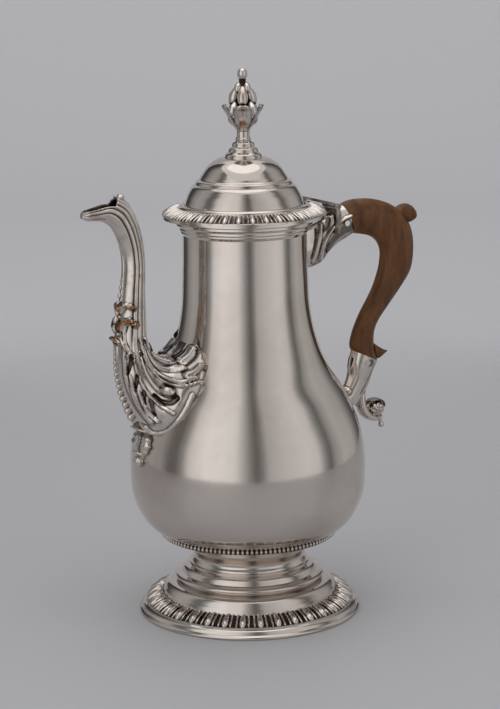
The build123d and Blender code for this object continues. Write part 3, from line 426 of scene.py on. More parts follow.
def gadroon_border(name, inner, outer, base, rise, lip, lobe, reed, sink):
    """A sloping ring of egg-shaped lobes with two thin reeds and a hollow between each two, the hollow painted
    dark with tarnish and shade.
    """
    slope = math.degrees(math.atan2(rise - lip, outer - inner))
    length = math.hypot(outer - inner, rise - lip) * 0.97
    place = ((inner + outer) / 2, 0, base + (rise + lip) / 2 - sink)
    form = bmesh.new()
    layer = wear_and_shade_layer(form)
    bed = [
        (inner, base),
        (outer, base),
        (outer, base + lip * 0.6),
        (outer - 0.5, base + lip * 0.8),
        (inner, base + rise - sink * 1.6),
    ]
    spun(form, bed, GADROONS * 4)
    for vertex in form.verts:
        # painted shade: the bed's upper face between the lobes is marked dark as tarnish and shade
        vertex[layer] = -0.75 if vertex.co.z > base + lip * 0.7 else 0.0
    reeds = [(share, reed, reed, 0.1, 0.0, 8) for share in REED_PLACES]
    lobes = [(0.0, lobe, lobe * 0.62, 0.28, 0.6, 14), *reeds]
    for share, *shape in lobes:
        made = add_lobe(form, length, *shape)
        lean_by(form, made, slope)
        bmesh.ops.translate(form, verts=made, vec=place)
        lean_by(form, made, 360 * share / GADROONS, "Z")
        ringed(form, made, GADROONS)
    for vertex in form.verts:
        radius = math.hypot(vertex.co.x, vertex.co.y)
        inside = min(max(radius, inner), outer)
        vertex.co.x *= inside / radius
        vertex.co.y *= inside / radius
        vertex.co.z = max(vertex.co.z, base)
    return finished_mesh(form, name, worn)


foot_border = gadroon_border("foot_gadroons", RISER_RADIUS, LEDGE_RADIUS, LEDGE, 6.0, 1.2, 3.9, 1.5, 0.9)
dressed(foot_border, "pot", "worn_silver", "foot_gadroon_border")

FLANGE_EDGE, BORDER_INNER, BORDER_BASE = 45.4, 36.2, 224.4
lid_border = gadroon_border("lid_gadroons", BORDER_INNER, FLANGE_EDGE, BORDER_BASE, 5.4, 1.6, 3.0, 1.3, 0.7)
dressed(lid_border, "lid", "worn_silver", "lid_gadroon_border")


# -------- the milled wire round the seat of the body
def milled_wire(radius, low, high, teeth):
    """A round wire cut across into a close row of little upright beads, on a core painted dark as the shade
    between them.
    """
    form = bmesh.new()
    middle, half = (low + high) / 2, (high - low) / 2
    core = [(radius - 2.0, low), (radius - 1.0, low), (radius - 0.6, middle)]
    core += [(radius - 1.0, high), (radius - 2.0, high)]
    layer = wear_and_shade_layer(form)
    spun(form, core, teeth)
    for vertex in form.verts:
        # painted shade: the core between the beads is marked dark
        vertex[layer] = -0.9

    def rubbed(vertex):
        vertex[layer] = 0.5 * max(0.0, vertex.co.x)

    size = (1.0, math.pi * radius / teeth * 0.72, half * 0.98)
    ringed(form, add_ball(form, size, (radius - 1.02, 0, middle), rubbed, rings=(8, 6)), teeth)
    return finished_mesh(form, "milled_wire_beads", worn, crease=60)


dressed(milled_wire(49.9, FLANGE_LOW, SEAT + 0.4, 120), "pot", "worn_silver", "milled_wire")

# -------- the mouth and the lid
MOUTH_RADIUS, MOUTH_HEIGHT = 38.0, 7.6
mouth_reach = MOUTH_RADIUS - NECK_RADIUS
mouth_steps = ((0.72, 2.0), (0.52, 4.3), (0.34, 5.9))
plate, reed, fillet = [(NECK_RADIUS + mouth_reach * share, RIM - drop) for share, drop in mouth_steps]
mouth_outline = [
    (NECK_RADIUS - 0.05, RIM - MOUTH_HEIGHT),
    (NECK_RADIUS - 0.05, RIM),
    (MOUTH_RADIUS - 0.4, RIM),
    (MOUTH_RADIUS, RIM - 0.5),
    (MOUTH_RADIUS, plate[1] + 0.3),
    *arc_through(plate, reed, -0.45, steps=4),
    *arc_through(reed, fillet, -0.35, steps=4),
]
dressed(turned("mouth_reeds", mouth_outline, plain_silver, crease=28), "pot", "silver", "mouth_moulding")

LID_SHEET = 0.9
SCREW_HOLE = 1.7  # radius
DRUM_RADIUS, SHOULDER_RADIUS, SHOULDER = 33.0, 27.2, 241.8
DOME_RADIUS, DOME_TOP_RADIUS, DOME_TOP = 25.0, 13.0, 256.0
FLANGE_UNDER, FLANGE_OVER = 223.5, 224.4
drum = curve_through(
    [
        (DRUM_RADIUS, 230.4),
        (DRUM_RADIUS - 1.1, 234.5),
        (DRUM_RADIUS - 2.6, 238.0),
        (SHOULDER_RADIUS, SHOULDER),
    ],
    start=(0, 1),
    end=(-1, 0.25),
    steps=7,
)
dome = curve_through(
    [
        (DOME_RADIUS, 242.5),
        (DOME_RADIUS - 2.8, 248.6),
        (DOME_RADIUS - 5.6, 252.2),
        (DOME_TOP_RADIUS, DOME_TOP),
    ],
    start=(0, 1),
    end=(-1, 0.35),
    steps=8,
)
cove = arc_through((SHOULDER_RADIUS - 0.3, SHOULDER + 0.1), (DOME_RADIUS - 0.2, SHOULDER + 2.6), -0.7)
roll = curve_through(
    [
        (BORDER_INNER + 0.3, 228.6),
        (BORDER_INNER - 0.4, 230.4),
        (DRUM_RADIUS + 1.2, 230.9),
        (DRUM_RADIUS, 230.0),
    ],
    start=(0, 1),
    end=(-0.6, -1),
    steps=5,
)
upper_dome = [point for point in dome if point.y > SHOULDER + 2.7]
lid_skin = [(BORDER_INNER + 0.3, FLANGE_OVER), *roll, *drum, *cove, *upper_dome]
lid_outline = [
    (DRUM_RADIUS - LID_SHEET, FLANGE_UNDER),
    (FLANGE_EDGE - 0.4, FLANGE_UNDER),
    (FLANGE_EDGE - 0.4, FLANGE_OVER),
    *lid_skin,
    (SCREW_HOLE, DOME_TOP),
    (SCREW_HOLE, DOME_TOP - LID_SHEET),
    *reversed(beside(drum + dome, -LID_SHEET)),
]
dressed(turned("lid", lid_outline, plain_silver, segments=160), "lid", "silver", "lid_dome")

# -------- the finial
FINIAL_TURN = 64  # degrees
BASE_REEDS = ((10.3, DOME_TOP), (8.3, 259.3), (6.2, 262.2), (4.7, 265.2))
finial_foot = [(SCREW_HOLE, DOME_TOP), BASE_REEDS[0]]
for low, high in zip(BASE_REEDS, BASE_REEDS[1:]):
    finial_foot += arc_through(low, high, -0.65, steps=5)
finial_foot.append((SCREW_HOLE, BASE_REEDS[-1][1]))
finial_reeds = turned("finial_reeds", finial_foot, plain_silver, segments=72, crease=25)
dressed(finial_reeds, "lid", "silver", "finial_base")
finial_neck = [
    (1.0, 265.2),
    (4.2, 265.2),
    *curve_through([(4.1, 265.5), (4.3, 266.3), (3.8, 267.2), (3.5, 270.5), (3.6, 273.0)], steps=5),
    (1.0, 273.0),
]
dressed(turned("finial_neck", finial_neck, plain_silver, segments=64), "lid", "silver", "finial_stem")

LEAF_SIDE = (
    (3.5, 270.4), (4.5, 272.4), (6.1, 274.6), (7.7, 277.4),
    (9.3, 280.4), (10.5, 283.0), (10.9, 284.3), (10.0, 285.2),
)
# share of the leaf's height and its half angle there
LEAF_SPREAD = ((0.0, 47), (0.3, 46), (0.55, 41), (0.75, 35), (0.9, 26), (1.0, 12))
LEAF_SHEET = 0.5


def leaf_cup():
    """Four broad leaves that hug the bud, ribbed down their middles, with tips that turn out; painted shadow
    lies under the turned tips and painted shade along the leaves' edges.
    """
    form = bmesh.new()
    layer = wear_and_shade_layer(form)
    profile = curve_through(LEAF_SIDE, start=(0.2, 1.0), end=(-1, 0.3), steps=8)
    spread = curve_through([(10 * share, angle) for share, angle in LEAF_SPREAD], steps=8)
    for leaf in range(4):
        made = bmesh.ops.create_grid(form, x_segments=24, y_segments=32, size=1.0)["verts"]
        for vertex in made:
            across, up = vertex.co.x, (vertex.co.y + 1) / 2
            spot = profile[round(up * (len(profile) - 1))]
            angle = spread[round(up * (len(spread) - 1))].y
            rib = math.exp(-((across / 0.16) ** 2)) * 0.5 * up
            veins = 0.16 * math.cos(9 * abs(across) - 7 * up) * up
            boss = 0.9 * math.exp(-((across / 0.45) ** 2 + ((up - 0.33) / 0.1) ** 2))
            radius = spot.x + rib + veins + boss - 0.7 * abs(across) ** 3 * up
            turn = math.radians(FINIAL_TURN + 90 * leaf + angle * across)
            lip = 1.2 * math.exp(-(((up - 0.88) / 0.06) ** 2)) * (1 - abs(across))
            # painted shadow under the turned-out tip, and painted shade along the leaf's edges
            shade = 0.7 * math.exp(-(((up - 0.72) / 0.06) ** 2 + (across / 0.5) ** 2))
            shade += 0.5 * abs(across) ** 4
            vertex[layer] = max(boss * 1.3, lip) if max(boss, lip) > 0.2 else -shade
            vertex.co = (radius * math.cos(turn), radius * math.sin(turn), spot.y)
    bmesh.ops.recalc_face_normals(form, faces=form.faces)
    cup = finished_mesh(form, "leaf_cup", worn, crease=60)
    sheet = cup.modifiers.new("leaf sheet", "SOLIDIFY")
    sheet.thickness = LEAF_SHEET * MM
    sheet.offset = -1
    return cup


# the bud's rings of drops: distance from the axis, middle height, half width, half height, quarter turns,
# lean in degrees, copper share
BUD_TIERS = (
    (7.2, 283.2, 2.6, 4.2, 0.5, 26, 0.16),
    (4.3, 289.8, 3.1, 5.9, 0.0, 17, 0.42),
    (3.5, 294.6, 1.9, 3.0, 0.5, 24, 0.16),
)


def berry_bud():
    """The bud: three rings of plump drops, fat end down, leaning in on a core; the core and the drops' inner
    sides are painted dark as shade.
    """
    form = bmesh.new()
    layer = wear_and_shade_layer(form)
    core = bmesh.ops.create_cone(
        form, cap_ends=True, segments=40, radius1=5.4, radius2=1.7, depth=24.0
    )["verts"]
    bmesh.ops.translate(form, verts=core, vec=(0, 0, 287.2))
    for vertex in core:
        # painted shade: the core between the drops is marked dark
        vertex[layer] = -0.9
    for reach, height, wide, tall, shift, lean, copper in BUD_TIERS:
        def drop(vertex):
            slim = 1 - 0.4 * max(0.0, vertex.co.z + 0.1) ** 1.3
            # copper on each drop's outer side, painted shade on its inner side towards the core
            vertex[layer] = copper * max(0.0, vertex.co.x) - 0.6 * max(0.0, 0.25 - vertex.co.x)
            vertex.co.x *= slim
            vertex.co.y *= slim

        for index in range(4):
            made = add_ball(form, (wide, wide, tall), (reach, 0, height), drop, -lean, rings=(20, 18))
            lean_by(form, made, FINIAL_TURN + 90 * (index + shift), "Z")
    return finished_mesh(form, "berry_bud", worn)


def finial_egg():
    """The smooth egg that ends the finial, on a neck painted dark as the shade under it."""
    form = bmesh.new()
    layer = wear_and_shade_layer(form)
    add_ball(form, (2.75, 2.75, 3.45), (0, 0, 301.45), rings=(40, 28))
    for vertex in add_ball(form, (2.1, 2.1, 0.8), (0, 0, 298.7), rings=(32, 14)):
        # painted shade: the neck under the egg is marked dark
        vertex[layer] = -0.9
    return finished_mesh(form, "finial_egg", worn)


dressed(leaf_cup(), "lid", "worn_silver", "finial_leaf_cup")
dressed(berry_bud(), "lid", "worn_silver", "finial_bud")
dressed(finial_egg(), "lid", "worn_silver", "finial_tip")

# -------- the spout
# back point, front point (x, z) and half width of the cast spout's sections, from its root to its tip
SPOUT_SECTIONS = (
    ((-33.0, 164.0), (-53.0, 103.5), 27.0),
    ((-42.6, 154.2), (-62.5, 107.5), 25.5),
    ((-49.4, 150.9), (-69.0, 118.0), 18.5),
    ((-56.4, 153.2), (-75.6, 133.0), 12.6),
    ((-60.2, 161.0), (-78.4, 147.0), 9.4),
    ((-60.8, 172.0), (-77.6, 167.0), 8.2),
    ((-60.9, 189.0), (-74.8, 186.5), 7.2),
    ((-60.6, 206.0), (-73.4, 206.6), 6.8),
    ((-62.0, 218.0), (-75.2, 215.0), 6.8),
    ((-65.6, 229.6), (-77.8, 220.8), 6.8),
    ((-70.0, 236.6), (-80.6, 224.6), 6.8),
    ((-76.4, 240.0), (-84.2, 226.8), 6.4),
    ((-86.0, 238.0), (-88.9, 227.4), 5.3),
    ((-92.6, 235.6), (-93.6, 227.9), 3.9),
    ((-95.9, 232.4), (-96.2, 229.2), 1.6),
)
CAST_WALL = 0.9
RING_POINTS = 240
REED_LINES = (14, 38, 60, 82, 106, 169)  # grooves along the neck, in degrees from its back
REED_HALF, REED_GROOVE = 8.0, 0.15  # half width in degrees, depth as a share of the radius
# how dark the reeds' grooves are painted, as tarnish and shade
REED_TARNISH_AND_SHADE = -0.65
REEDS_FADE = (3.6, 5.0)  # sections over which the side grooves die out towards the root
WING_REEDS = 45  # grooves nearer the back than this run on over the wing
WING_SHARE = 0.35  # of their depth at the root
SCALLOP = 1.5  # how far the root's edge waves
HOOD_EDGE, HOOD_LEAN = Vector((-77.9, 0, 236.0)), Vector((-1.0, 0, 0.62))
BEAK_RIM, BEAK_LEAN = Vector((-78.0, 0, 235.4)), Vector((-0.15, 0, 1.0))
BEAK_CUTS = ((HOOD_EDGE, HOOD_LEAN), (BEAK_RIM, BEAK_LEAN))
BEAK_FOOT = 222.0  # everything open lies above it
SPOUT_DEPTH = 1.8  # how far its root runs into the body's wall

# chased ornament on each cheek: half width at its start and end, height (below 0 for a hollow), tone (copper
# above 0, painted shade and tarnish below) and points (x, z)
CHEEK_ORNAMENT = (
    (0.7, 1.4, 1.3, 0.1, (
        (-64.3, 162.8), (-61.5, 155.9), (-56.6, 150.9), (-52.0, 148.8), (-46.0, 149.4),
    )),
    (0.8, 1.4, 1.4, 0.1, (
        (-65.3, 160.9), (-62.9, 153.1), (-59.1, 147.4), (-53.9, 145.5), (-46.5, 146.8),
    )),
    (0.8, 1.3, 1.3, 0.5, (
        (-66.4, 159.0), (-64.2, 151.2), (-60.6, 145.2), (-55.6, 141.4), (-49.7, 140.1), (-42.5, 142.2),
    )),
    (0.7, 1.0, 1.5, 0.0, (
        (-67.5, 162.4), (-66.0, 153.1), (-62.5, 145.5), (-58.8, 140.7), (-54.1, 138.2), (-49.1, 138.0),
        (-41.5, 140.0),
    )),
    (0.8, 1.6, 1.3, 0.1, (
        (-68.4, 155.9), (-67.0, 148.4), (-64.7, 141.4), (-61.8, 136.6), (-58.8, 134.0), (-55.8, 133.0),
    )),
    (1.2, 2.0, -2.0, -0.62, ((-63.4, 132.9), (-60.8, 129.9), (-57.4, 129.2), (-54.0, 132.0))),
    (2.5, 2.5, 2.6, 1.6, ((-57.4, 135.6), (-56.2, 135.4))),
    (0.9, 1.1, 1.3, 0.8, (
        (-72.0, 154.1), (-70.6, 145.5), (-68.2, 137.9), (-65.3, 132.5), (-61.1, 127.8), (-55.6, 123.4),
    )),
    (1.5, 0.7, -1.9, -0.62, ((-72.5, 152.7), (-74.0, 148.6), (-75.2, 143.6))),
    (1.4, 0.7, -1.9, -0.62, ((-70.5, 143.2), (-71.6, 138.8), (-72.1, 133.8))),
    (1.3, 0.7, -1.7, -0.62, ((-68.1, 134.6), (-68.2, 130.5), (-67.4, 127.3))),
    (1.5, 0.6, -1.9, -0.62, ((-65.1, 129.7), (-64.6, 125.6), (-63.0, 120.6))),
    (0.8, 0.9, 1.0, 0.0, (
        (-75.9, 158.4), (-76.1, 150.7), (-75.5, 141.9), (-73.2, 133.0), (-69.2, 123.9), (-64.0, 116.3),
    )),
    (0.7, 0.9, 1.0, 0.0, ((-73.9, 143.4), (-72.4, 134.2), (-69.2, 125.9), (-64.2, 117.9))),
    (0.7, 0.9, 1.0, 0.1, ((-70.2, 134.6), (-68.4, 128.2), (-65.2, 122.1), (-62.0, 118.2))),
    (1.3, 1.7, 1.2, 0.1, (
        (-66.4, 114.3), (-63.0, 110.9), (-58.0, 112.4), (-53.2, 118.6), (-49.2, 125.5), (-45.5, 133.0),
    )),
    (1.4, 1.4, -1.6, -0.62, ((-49.2, 149.4), (-47.8, 150.4))),
    (1.6, 1.2, 1.4, 0.2, ((-45.6, 149.2), (-41.6, 152.0), (-38.0, 156.0))),
    (1.7, 1.2, 1.4, 0.4, ((-46.6, 143.2), (-42.5, 145.0), (-38.8, 148.0))),
    (1.8, 0.8, 1.6, 0.9, ((-77.8, 162.2), (-77.2, 161.4), (-76.0, 160.2), (-74.5, 157.0))),
    (0.8, 0.8, 1.1, 0.4, ((-74.8, 153.4), (-73.3, 155.7), (-71.2, 153.8))),
    (1.6, 1.3, 2.2, 1.0, ((-76.8, 177.6), (-74.0, 181.0), (-70.2, 179.6))),
    (1.8, 1.4, 2.4, 1.0, ((-76.4, 168.6), (-73.6, 172.8), (-69.4, 170.6))),
    (0.7, 0.7, 0.8, 0.1, ((-74.8, 169.7), (-75.6, 164.9), (-74.5, 158.4), (-72.9, 155.7))),
)


def body_radius(height):
    """The body's outside radius at a height, in millimetres."""
    for upper, lower in zip(side, side[1:]):
        if lower.y <= height <= upper.y:
            share = (upper.y - height) / (upper.y - lower.y)
            return upper.x + (lower.x - upper.x) * share
    return NECK_RADIUS if height > side[0].y else 0.0


def relief_at(spots, groove_tarnish_and_shade, strokes):
    """How high chased strokes stand, how far they are rubbed to the copper, and how dark they are painted with
    tarnish and shade in hollows and round their feet, at each (x, z) spot.
    """
    height = np.zeros(len(spots))
    wear_and_shade = groove_tarnish_and_shade.copy()
    for first_width, last_width, rise, tone, points in strokes:
        run = [Vector((*point, 0)) for point in points] if len(points) < 3 else curve_through(points, steps=4)
        lengths = [0.0]
        for first, second in zip(run, run[1:]):
            lengths.append(lengths[-1] + (second - first).length)
        nearest = np.full(len(spots), 1e9)
        width = np.full(len(spots), first_width)
        for index, (first, second) in enumerate(zip(run, run[1:])):
            start, along = np.array(first[:2]), np.array(second[:2]) - np.array(first[:2])
            share = np.clip(((spots - start) @ along) / (along @ along), 0, 1)
            gap = np.linalg.norm(spots - start - share[:, None] * along, axis=1)
            travelled = (lengths[index] + share * (lengths[index + 1] - lengths[index])) / lengths[-1]
            closer = gap < nearest
            nearest = np.where(closer, gap, nearest)
            width = np.where(closer, first_width + (last_width - first_width) * travelled, width)
        swell = np.clip(1 - (nearest / width) ** 2, 0, 1) ** 1.2
        # painted shade: a dark line round the foot of each raised stroke
        foot_shade = np.clip(1 - np.abs(nearest / width - 1.1) / 0.55, 0, 1)
        if rise > 0:
            height = height * (1 - swell) + swell * rise * 1.15
            wear_and_shade = wear_and_shade * (1 - swell) - foot_shade * 0.75 * (swell < 0.2)
            rubbed = tone * np.clip(swell * 1.5 - 0.2, 0, 1)
            wear_and_shade = np.where(swell > 0.15, np.maximum(wear_and_shade, rubbed), wear_and_shade)
        else:
            height += swell * rise * 1.1
            # painted shade and tarnish in the hollow strokes
            wear_and_shade = np.minimum(wear_and_shade, tone * np.clip(swell * 1.6, 0, 1))
    return height, wear_and_shade


def cheek_share(vertex):
    """How far a vertex faces sideways, where the chasing is."""
    return min(max((abs(vertex.normal.y) - 0.05) / 0.2, 0), 1)


def spout_edges():
    """The back line, the front line and the half widths of the spout, drawn closer where the ornament is."""
    runs = zip(*[(back, front, (10 * n, wide)) for n, (back, front, wide) in enumerate(SPOUT_SECTIONS)])
    backs, fronts, widths = (curve_through(run, steps=20) for run in runs)
    kept = [n for n in range(len(backs)) if n <= 120 or n % 4 == 0]
    return [(backs[n], fronts[n], widths[n].y, widths[n].x / 10) for n in kept]


SPOUT_RINGS = spout_edges()


def stood_up(form, ring, outer, inner):
    """Stands a flat ring square to the pot's long plane, its X from inner to outer, and gives its edges."""
    way, middle = (outer - inner).normalized(), (outer + inner) / 2
    stand = Matrix(((way.x, 0, way.y, middle.x), (0, 1, 0, 0), (way.y, 0, -way.x, middle.y), (0, 0, 0, 1)))
    bmesh.ops.transform(form, matrix=stand, verts=ring)
    return {edge for vertex in ring for edge in vertex.link_edges}


def bridged(form, loops):
    """Joins rings of edges one after another."""
    for first, second in zip(loops, loops[1:]):
        bmesh.ops.bridge_loops(form, edges=[*first, *second])


def reeded_ring(form, long_half, wide_half, station, groove_tarnish_and_shade):
    """A flat ring with the neck's reeds in it, and how dark each of its vertices is painted in the reeds'
    hollows, as tarnish and shade.
    """
    fade = min(max((station - REEDS_FADE[0]) / (REEDS_FADE[1] - REEDS_FADE[0]), 0), 1)
    ring = bmesh.ops.create_circle(form, segments=RING_POINTS, radius=1.0)["verts"]
    for vertex in ring:
        turn = abs(math.degrees(math.atan2(vertex.co.y, vertex.co.x)))
        nearest = min(REED_LINES, key=lambda line: abs(turn - line))
        share = fade if nearest > WING_REEDS else WING_SHARE + (1 - WING_SHARE) * fade
        groove = max(0.0, 1 - abs(turn - nearest) / REED_HALF) ** 1.5 * share
        # painted shade and tarnish in each groove
        groove_tarnish_and_shade[vertex] = REED_TARNISH_AND_SHADE * groove
        vertex.co.x *= long_half * (1 - REED_GROOVE * groove)
        vertex.co.y *= wide_half * (1 - REED_GROOVE * groove)
    return ring


def beak_faces(form):
    """The faces of the spout's open end."""
    middles = [(face, face.calc_center_median()) for face in form.faces]
    return [face for face, middle in middles if middle.x < HOOD_EDGE.x + 4 and middle.z > BEAK_FOOT]


def open_beak(form):
    """Cuts the mouth along the hood's edge and the beak's rim."""
    bmesh.ops.recalc_face_normals(form, faces=form.faces)
    beak = beak_faces(form)
    for spot, lean in BEAK_CUTS:
        corners = {vertex for face in beak for vertex in face.verts}
        edges = {edge for face in beak for edge in face.edges}
        geometry = [*corners, *edges, *beak]
        bmesh.ops.bisect_plane(form, geom=geometry, dist=1e-5, plane_co=spot, plane_no=lean)
        beak = beak_faces(form)
    middles = [(face, face.calc_center_median()) for face in beak]
    cut = [face for face, middle in middles if all((middle - spot).dot(lean) > 0 for spot, lean in BEAK_CUTS)]
    bmesh.ops.delete(form, geom=cut, context="FACES")
    strays = [vertex for vertex in form.verts if not vertex.link_faces]
    bmesh.ops.delete(form, geom=strays, context="VERTS")


def root_skirt(form, root):
    """A strip from the root's edge into the body's wall."""
    rim_edges = {edge for vertex in root for edge in vertex.link_edges if edge.is_boundary}
    inward = bmesh.ops.extrude_edge_only(form, edges=list(rim_edges))
    for vertex in [item for item in inward["geom"] if isinstance(item, bmesh.types.BMVert)]:
        vertex.co.y *= 0.95
        vertex.co.z -= 1.0
        deep = body_radius(vertex.co.z) - SPOUT_DEPTH
        vertex.co.x = max(vertex.co.x + 0.2, -math.sqrt(max(deep ** 2 - vertex.co.y ** 2, 1.0)))


def is_sunk(spot):
    """Whether a spot near the root lies deep in the body's wall."""
    return spot.x > -75 and math.hypot(spot.x, spot.y) < body_radius(spot.z) - SPOUT_DEPTH - 0.1


def spout_casting():
    """The swan-neck spout: reeded ovals bridged root to tip, chased on both cheeks, open at the beak."""
    form = bmesh.new()
    layer = wear_and_shade_layer(form)
    loops, groove_tarnish_and_shade = [], {}
    for back, front, half_width, station in SPOUT_RINGS:
        ring = reeded_ring(form, (back - front).length / 2, half_width, station, groove_tarnish_and_shade)
        if not loops:
            root = ring
            for vertex in ring:
                wave = max(0.0, math.sin(abs(math.atan2(vertex.co.y, vertex.co.x)) * 3.2 + 0.3))
                vertex.co.z = -SCALLOP * wave ** 0.7
        loops.append(stood_up(form, ring, back, front))
    bridged(form, loops)
    bmesh.ops.recalc_face_normals(form, faces=form.faces)
    form.normal_update()
    spots = np.array([(vertex.co.x, vertex.co.z) for vertex in form.verts])
    height, wear_and_shade = relief_at(spots, np.array([groove_tarnish_and_shade[vertex] for vertex in form.verts]), CHEEK_ORNAMENT)
    pushes = [vertex.normal * float(rise) * cheek_share(vertex) for vertex, rise in zip(form.verts, height)]
    # each vertex takes its copper rubbing and its painted tarnish and shade
    for vertex, push, rubbed in zip(form.verts, pushes, wear_and_shade):
        vertex.co += push
        vertex[layer] = float(rubbed)
    bmesh.ops.contextual_create(form, geom=list(loops[-1]))
    root_skirt(form, root)
    open_beak(form)
    sunk = [face for face in form.faces if all(is_sunk(vertex.co) for vertex in face.verts)]
    bmesh.ops.delete(form, geom=sunk, context="FACES")
    casting = finished_mesh(form, "spout_casting", worn, crease=50)
    casting.data.materials.append(tarnished)
    wall = casting.modifiers.new("cast wall", "SOLIDIFY")
    wall.thickness = CAST_WALL * MM
    wall.offset = -1
    wall.material_offset = 1
    return casting


def front_at(height):
    """Where the spout's front line stands at a height."""
    fronts = [front for back, front, wide, station in SPOUT_RINGS]
    return min((front.x for front in fronts if abs(front.y - height) < 1.2), default=-75.0)


UPPER_BEADS = [(194.0 - 25.8 * (n / 6) ** 1.05, 0.8 + 1.2 * n / 6, 1.35) for n in range(7)]
LOWER_BEADS = [(155.4 - 37.0 * (n / 11) ** 1.08, 0.9 + 1.3 * n / 11, 1.0) for n in range(12)]
CREST_RINGS = range(11, 40, 2)  # counted from the spout's tip


def pearl_chain():
    """Two runs of beads down the spout's front, the shell between them and the crest down its back."""
    form = bmesh.new()
    layer = wear_and_shade_layer(form)
    for height, radius, tall in UPPER_BEADS + LOWER_BEADS:
        add_ball(form, (radius, radius, radius * tall), (front_at(height) - radius * 0.35, 0, height))
    from_tip = [back for back, front, wide, station in reversed(SPOUT_RINGS)]
    for n in CREST_RINGS:
        back, radius = from_tip[n], max(1.45 - 0.045 * n, 0.55)
        if back.x > HOOD_EDGE.x:
            add_ball(form, (radius, radius * 1.5, radius * 1.2), (back.x, 0, back.y - 0.1))
    add_ball(form, (2.28, 2.85, 1.71), (-73.6, 0, 239.3))

    def curl(vertex):
        # copper on the curl's face, painted shade on its underside
        vertex[layer] = 0.95 * max(0.0, -vertex.co.x) - 0.6 * max(0.0, -vertex.co.z - 0.3)
        vertex.co.z -= 0.5 * abs(vertex.co.y) ** 1.5

    add_ball(form, (2.4, 6.6, 1.7), (-78.6, 0, 162.6), curl, lean=18, divisions=4)
    return finished_mesh(form, "pearl_chain", worn)


def pendant_drop():
    """The half-sunk leafy knob under the spout, with a copper-worn ball at its end; the knob's valleys and the
    undersides of its leaves are painted dark as shade.
    """
    form = bmesh.new()
    layer = wear_and_shade_layer(form)

    def leafy(vertex):
        lobe = abs(math.cos(3 * math.atan2(vertex.co.y, vertex.co.x))) ** 0.6
        waist = 1 - 0.42 * max(0.0, -vertex.co.z - 0.15)
        bulge = (0.82 + 0.18 * lobe) * waist * (1 + 0.06 * math.cos(vertex.co.z * 14))
        # painted shade: the knob is marked dark except on its lobes' crests
        vertex[layer] = lobe - 0.9
        vertex.co.x *= bulge
        vertex.co.y *= bulge

    def fluted(vertex):
        flute = abs(math.cos(4 * math.atan2(vertex.co.y, vertex.co.x)))
        vertex[layer] = 0.9 * max(0.0, 0.75 - abs(vertex.co.z) * 0.9375) * flute
        vertex.co.x *= 0.93 + 0.07 * flute
        vertex.co.y *= 0.93 + 0.07 * flute

    add_ball(form, (6.4, 10.8, 9.2), (-63.0, 0, 102.4), leafy, lean=12, divisions=5)
    for height, reach, radius, copper in ((109.6, -61.6, 9.2, 0.1), (97.0, -64.2, 6.2, 0.2)):
        def shaded(vertex):
            # painted shade on each leaf's underside
            vertex[layer] = copper - 0.5 * max(0.0, -vertex.co.z)

        add_ball(form, (radius, radius * 1.05, 1.5), (reach, 0, height), shaded, lean=20, divisions=4)
    add_ball(form, (3.15, 3.75, 3.3), (-66.8, 0, 93.0), fluted, divisions=4)
    return finished_mesh(form, "pendant_drop", worn)


dressed(spout_casting(), "pot", "silver", "spout")
dressed(pearl_chain(), "pot", "worn_silver", "spout_beads")
dressed(pendant_drop(), "pot", "worn_silver", "spout_drop")

# -------- the handle's sockets
# outer point, inner point (x, z) and half width of each section
UPPER_SLEEVE = (
    ((33.0, 216.0), (35.0, 191.8), 4.4),
    ((38.5, 215.6), (42.0, 192.2), 4.8),
    ((44.0, 217.2), (47.6, 194.6), 5.1),
    ((48.5, 219.8), (51.8, 199.5), 5.6),
    ((52.5, 222.6), (56.6, 203.6), 6.2),
    ((56.4, 225.3), (61.8, 206.2), 6.6),
    ((60.2, 226.0), (67.6, 209.2), 6.8),
)
LOWER_SLEEVE = (
    ((83.0, 134.2), (67.2, 141.7), 7.0),
    ((80.6, 130.0), (65.2, 134.6), 6.7),
    ((77.6, 122.2), (64.4, 126.8), 6.2),
    ((74.2, 115.6), (61.0, 119.6), 5.6),
    ((69.8, 109.0), (55.4, 114.0), 5.0),
)
SCROLL = (
    ((73.6, 127.6), (77.6, 126.6), 1.2),
    ((72.0, 121.5), (76.4, 121.0), 2.2),
    ((70.6, 114.5), (75.4, 114.0), 3.4),
    ((70.4, 108.3), (76.0, 109.0), 4.2),
    ((73.0, 102.6), (77.8, 105.4), 4.5),
    ((78.0, 99.4), (80.6, 103.0), 4.5),
    ((83.0, 98.8), (84.0, 102.0), 4.0),
    ((86.6, 100.4), (86.0, 102.4), 2.4),
)
CURL_LEAF = (
    ((75.2, 108.4), (76.8, 109.0), 2.2),
    ((78.8, 111.6), (79.4, 110.2), 3.4),
    ((83.6, 112.2), (83.4, 110.6), 3.6),
    ((87.6, 109.8), (86.8, 108.8), 2.8),
    ((88.9, 106.4), (88.0, 106.4), 1.2),
)
# chased strokes on the sleeves' cheeks, with the columns of CHEEK_ORNAMENT; the hollows (below 0) are painted
# dark with tarnish and shade
UPPER_CHASING = (
    (4.4, 2.6, -0.8, -0.6, ((65.0, 213.6), (59.6, 212.4), (54.2, 208.0), (50.2, 202.0))),
    (1.1, 1.4, 1.3, 0.1, (
        (66.0, 220.6), (60.8, 219.2), (55.6, 216.4), (50.2, 211.2), (47.2, 205.5), (45.6, 196.5),
    )),
    (1.4, 1.8, -0.8, -0.6, ((50.6, 219.0), (48.4, 214.2), (45.0, 212.5))),
    (1.2, 1.5, 0.9, 0.1, ((46.2, 216.0), (44.6, 209.0), (42.8, 202.5), (41.0, 195.8))),
    (0.9, 0.8, -0.9, -0.7, ((42.8, 214.0), (41.6, 206.0), (39.6, 197.5))),
    (2.7, 2.7, -0.4, -0.6, ((60.7, 216.2), (61.2, 216.2))),
)
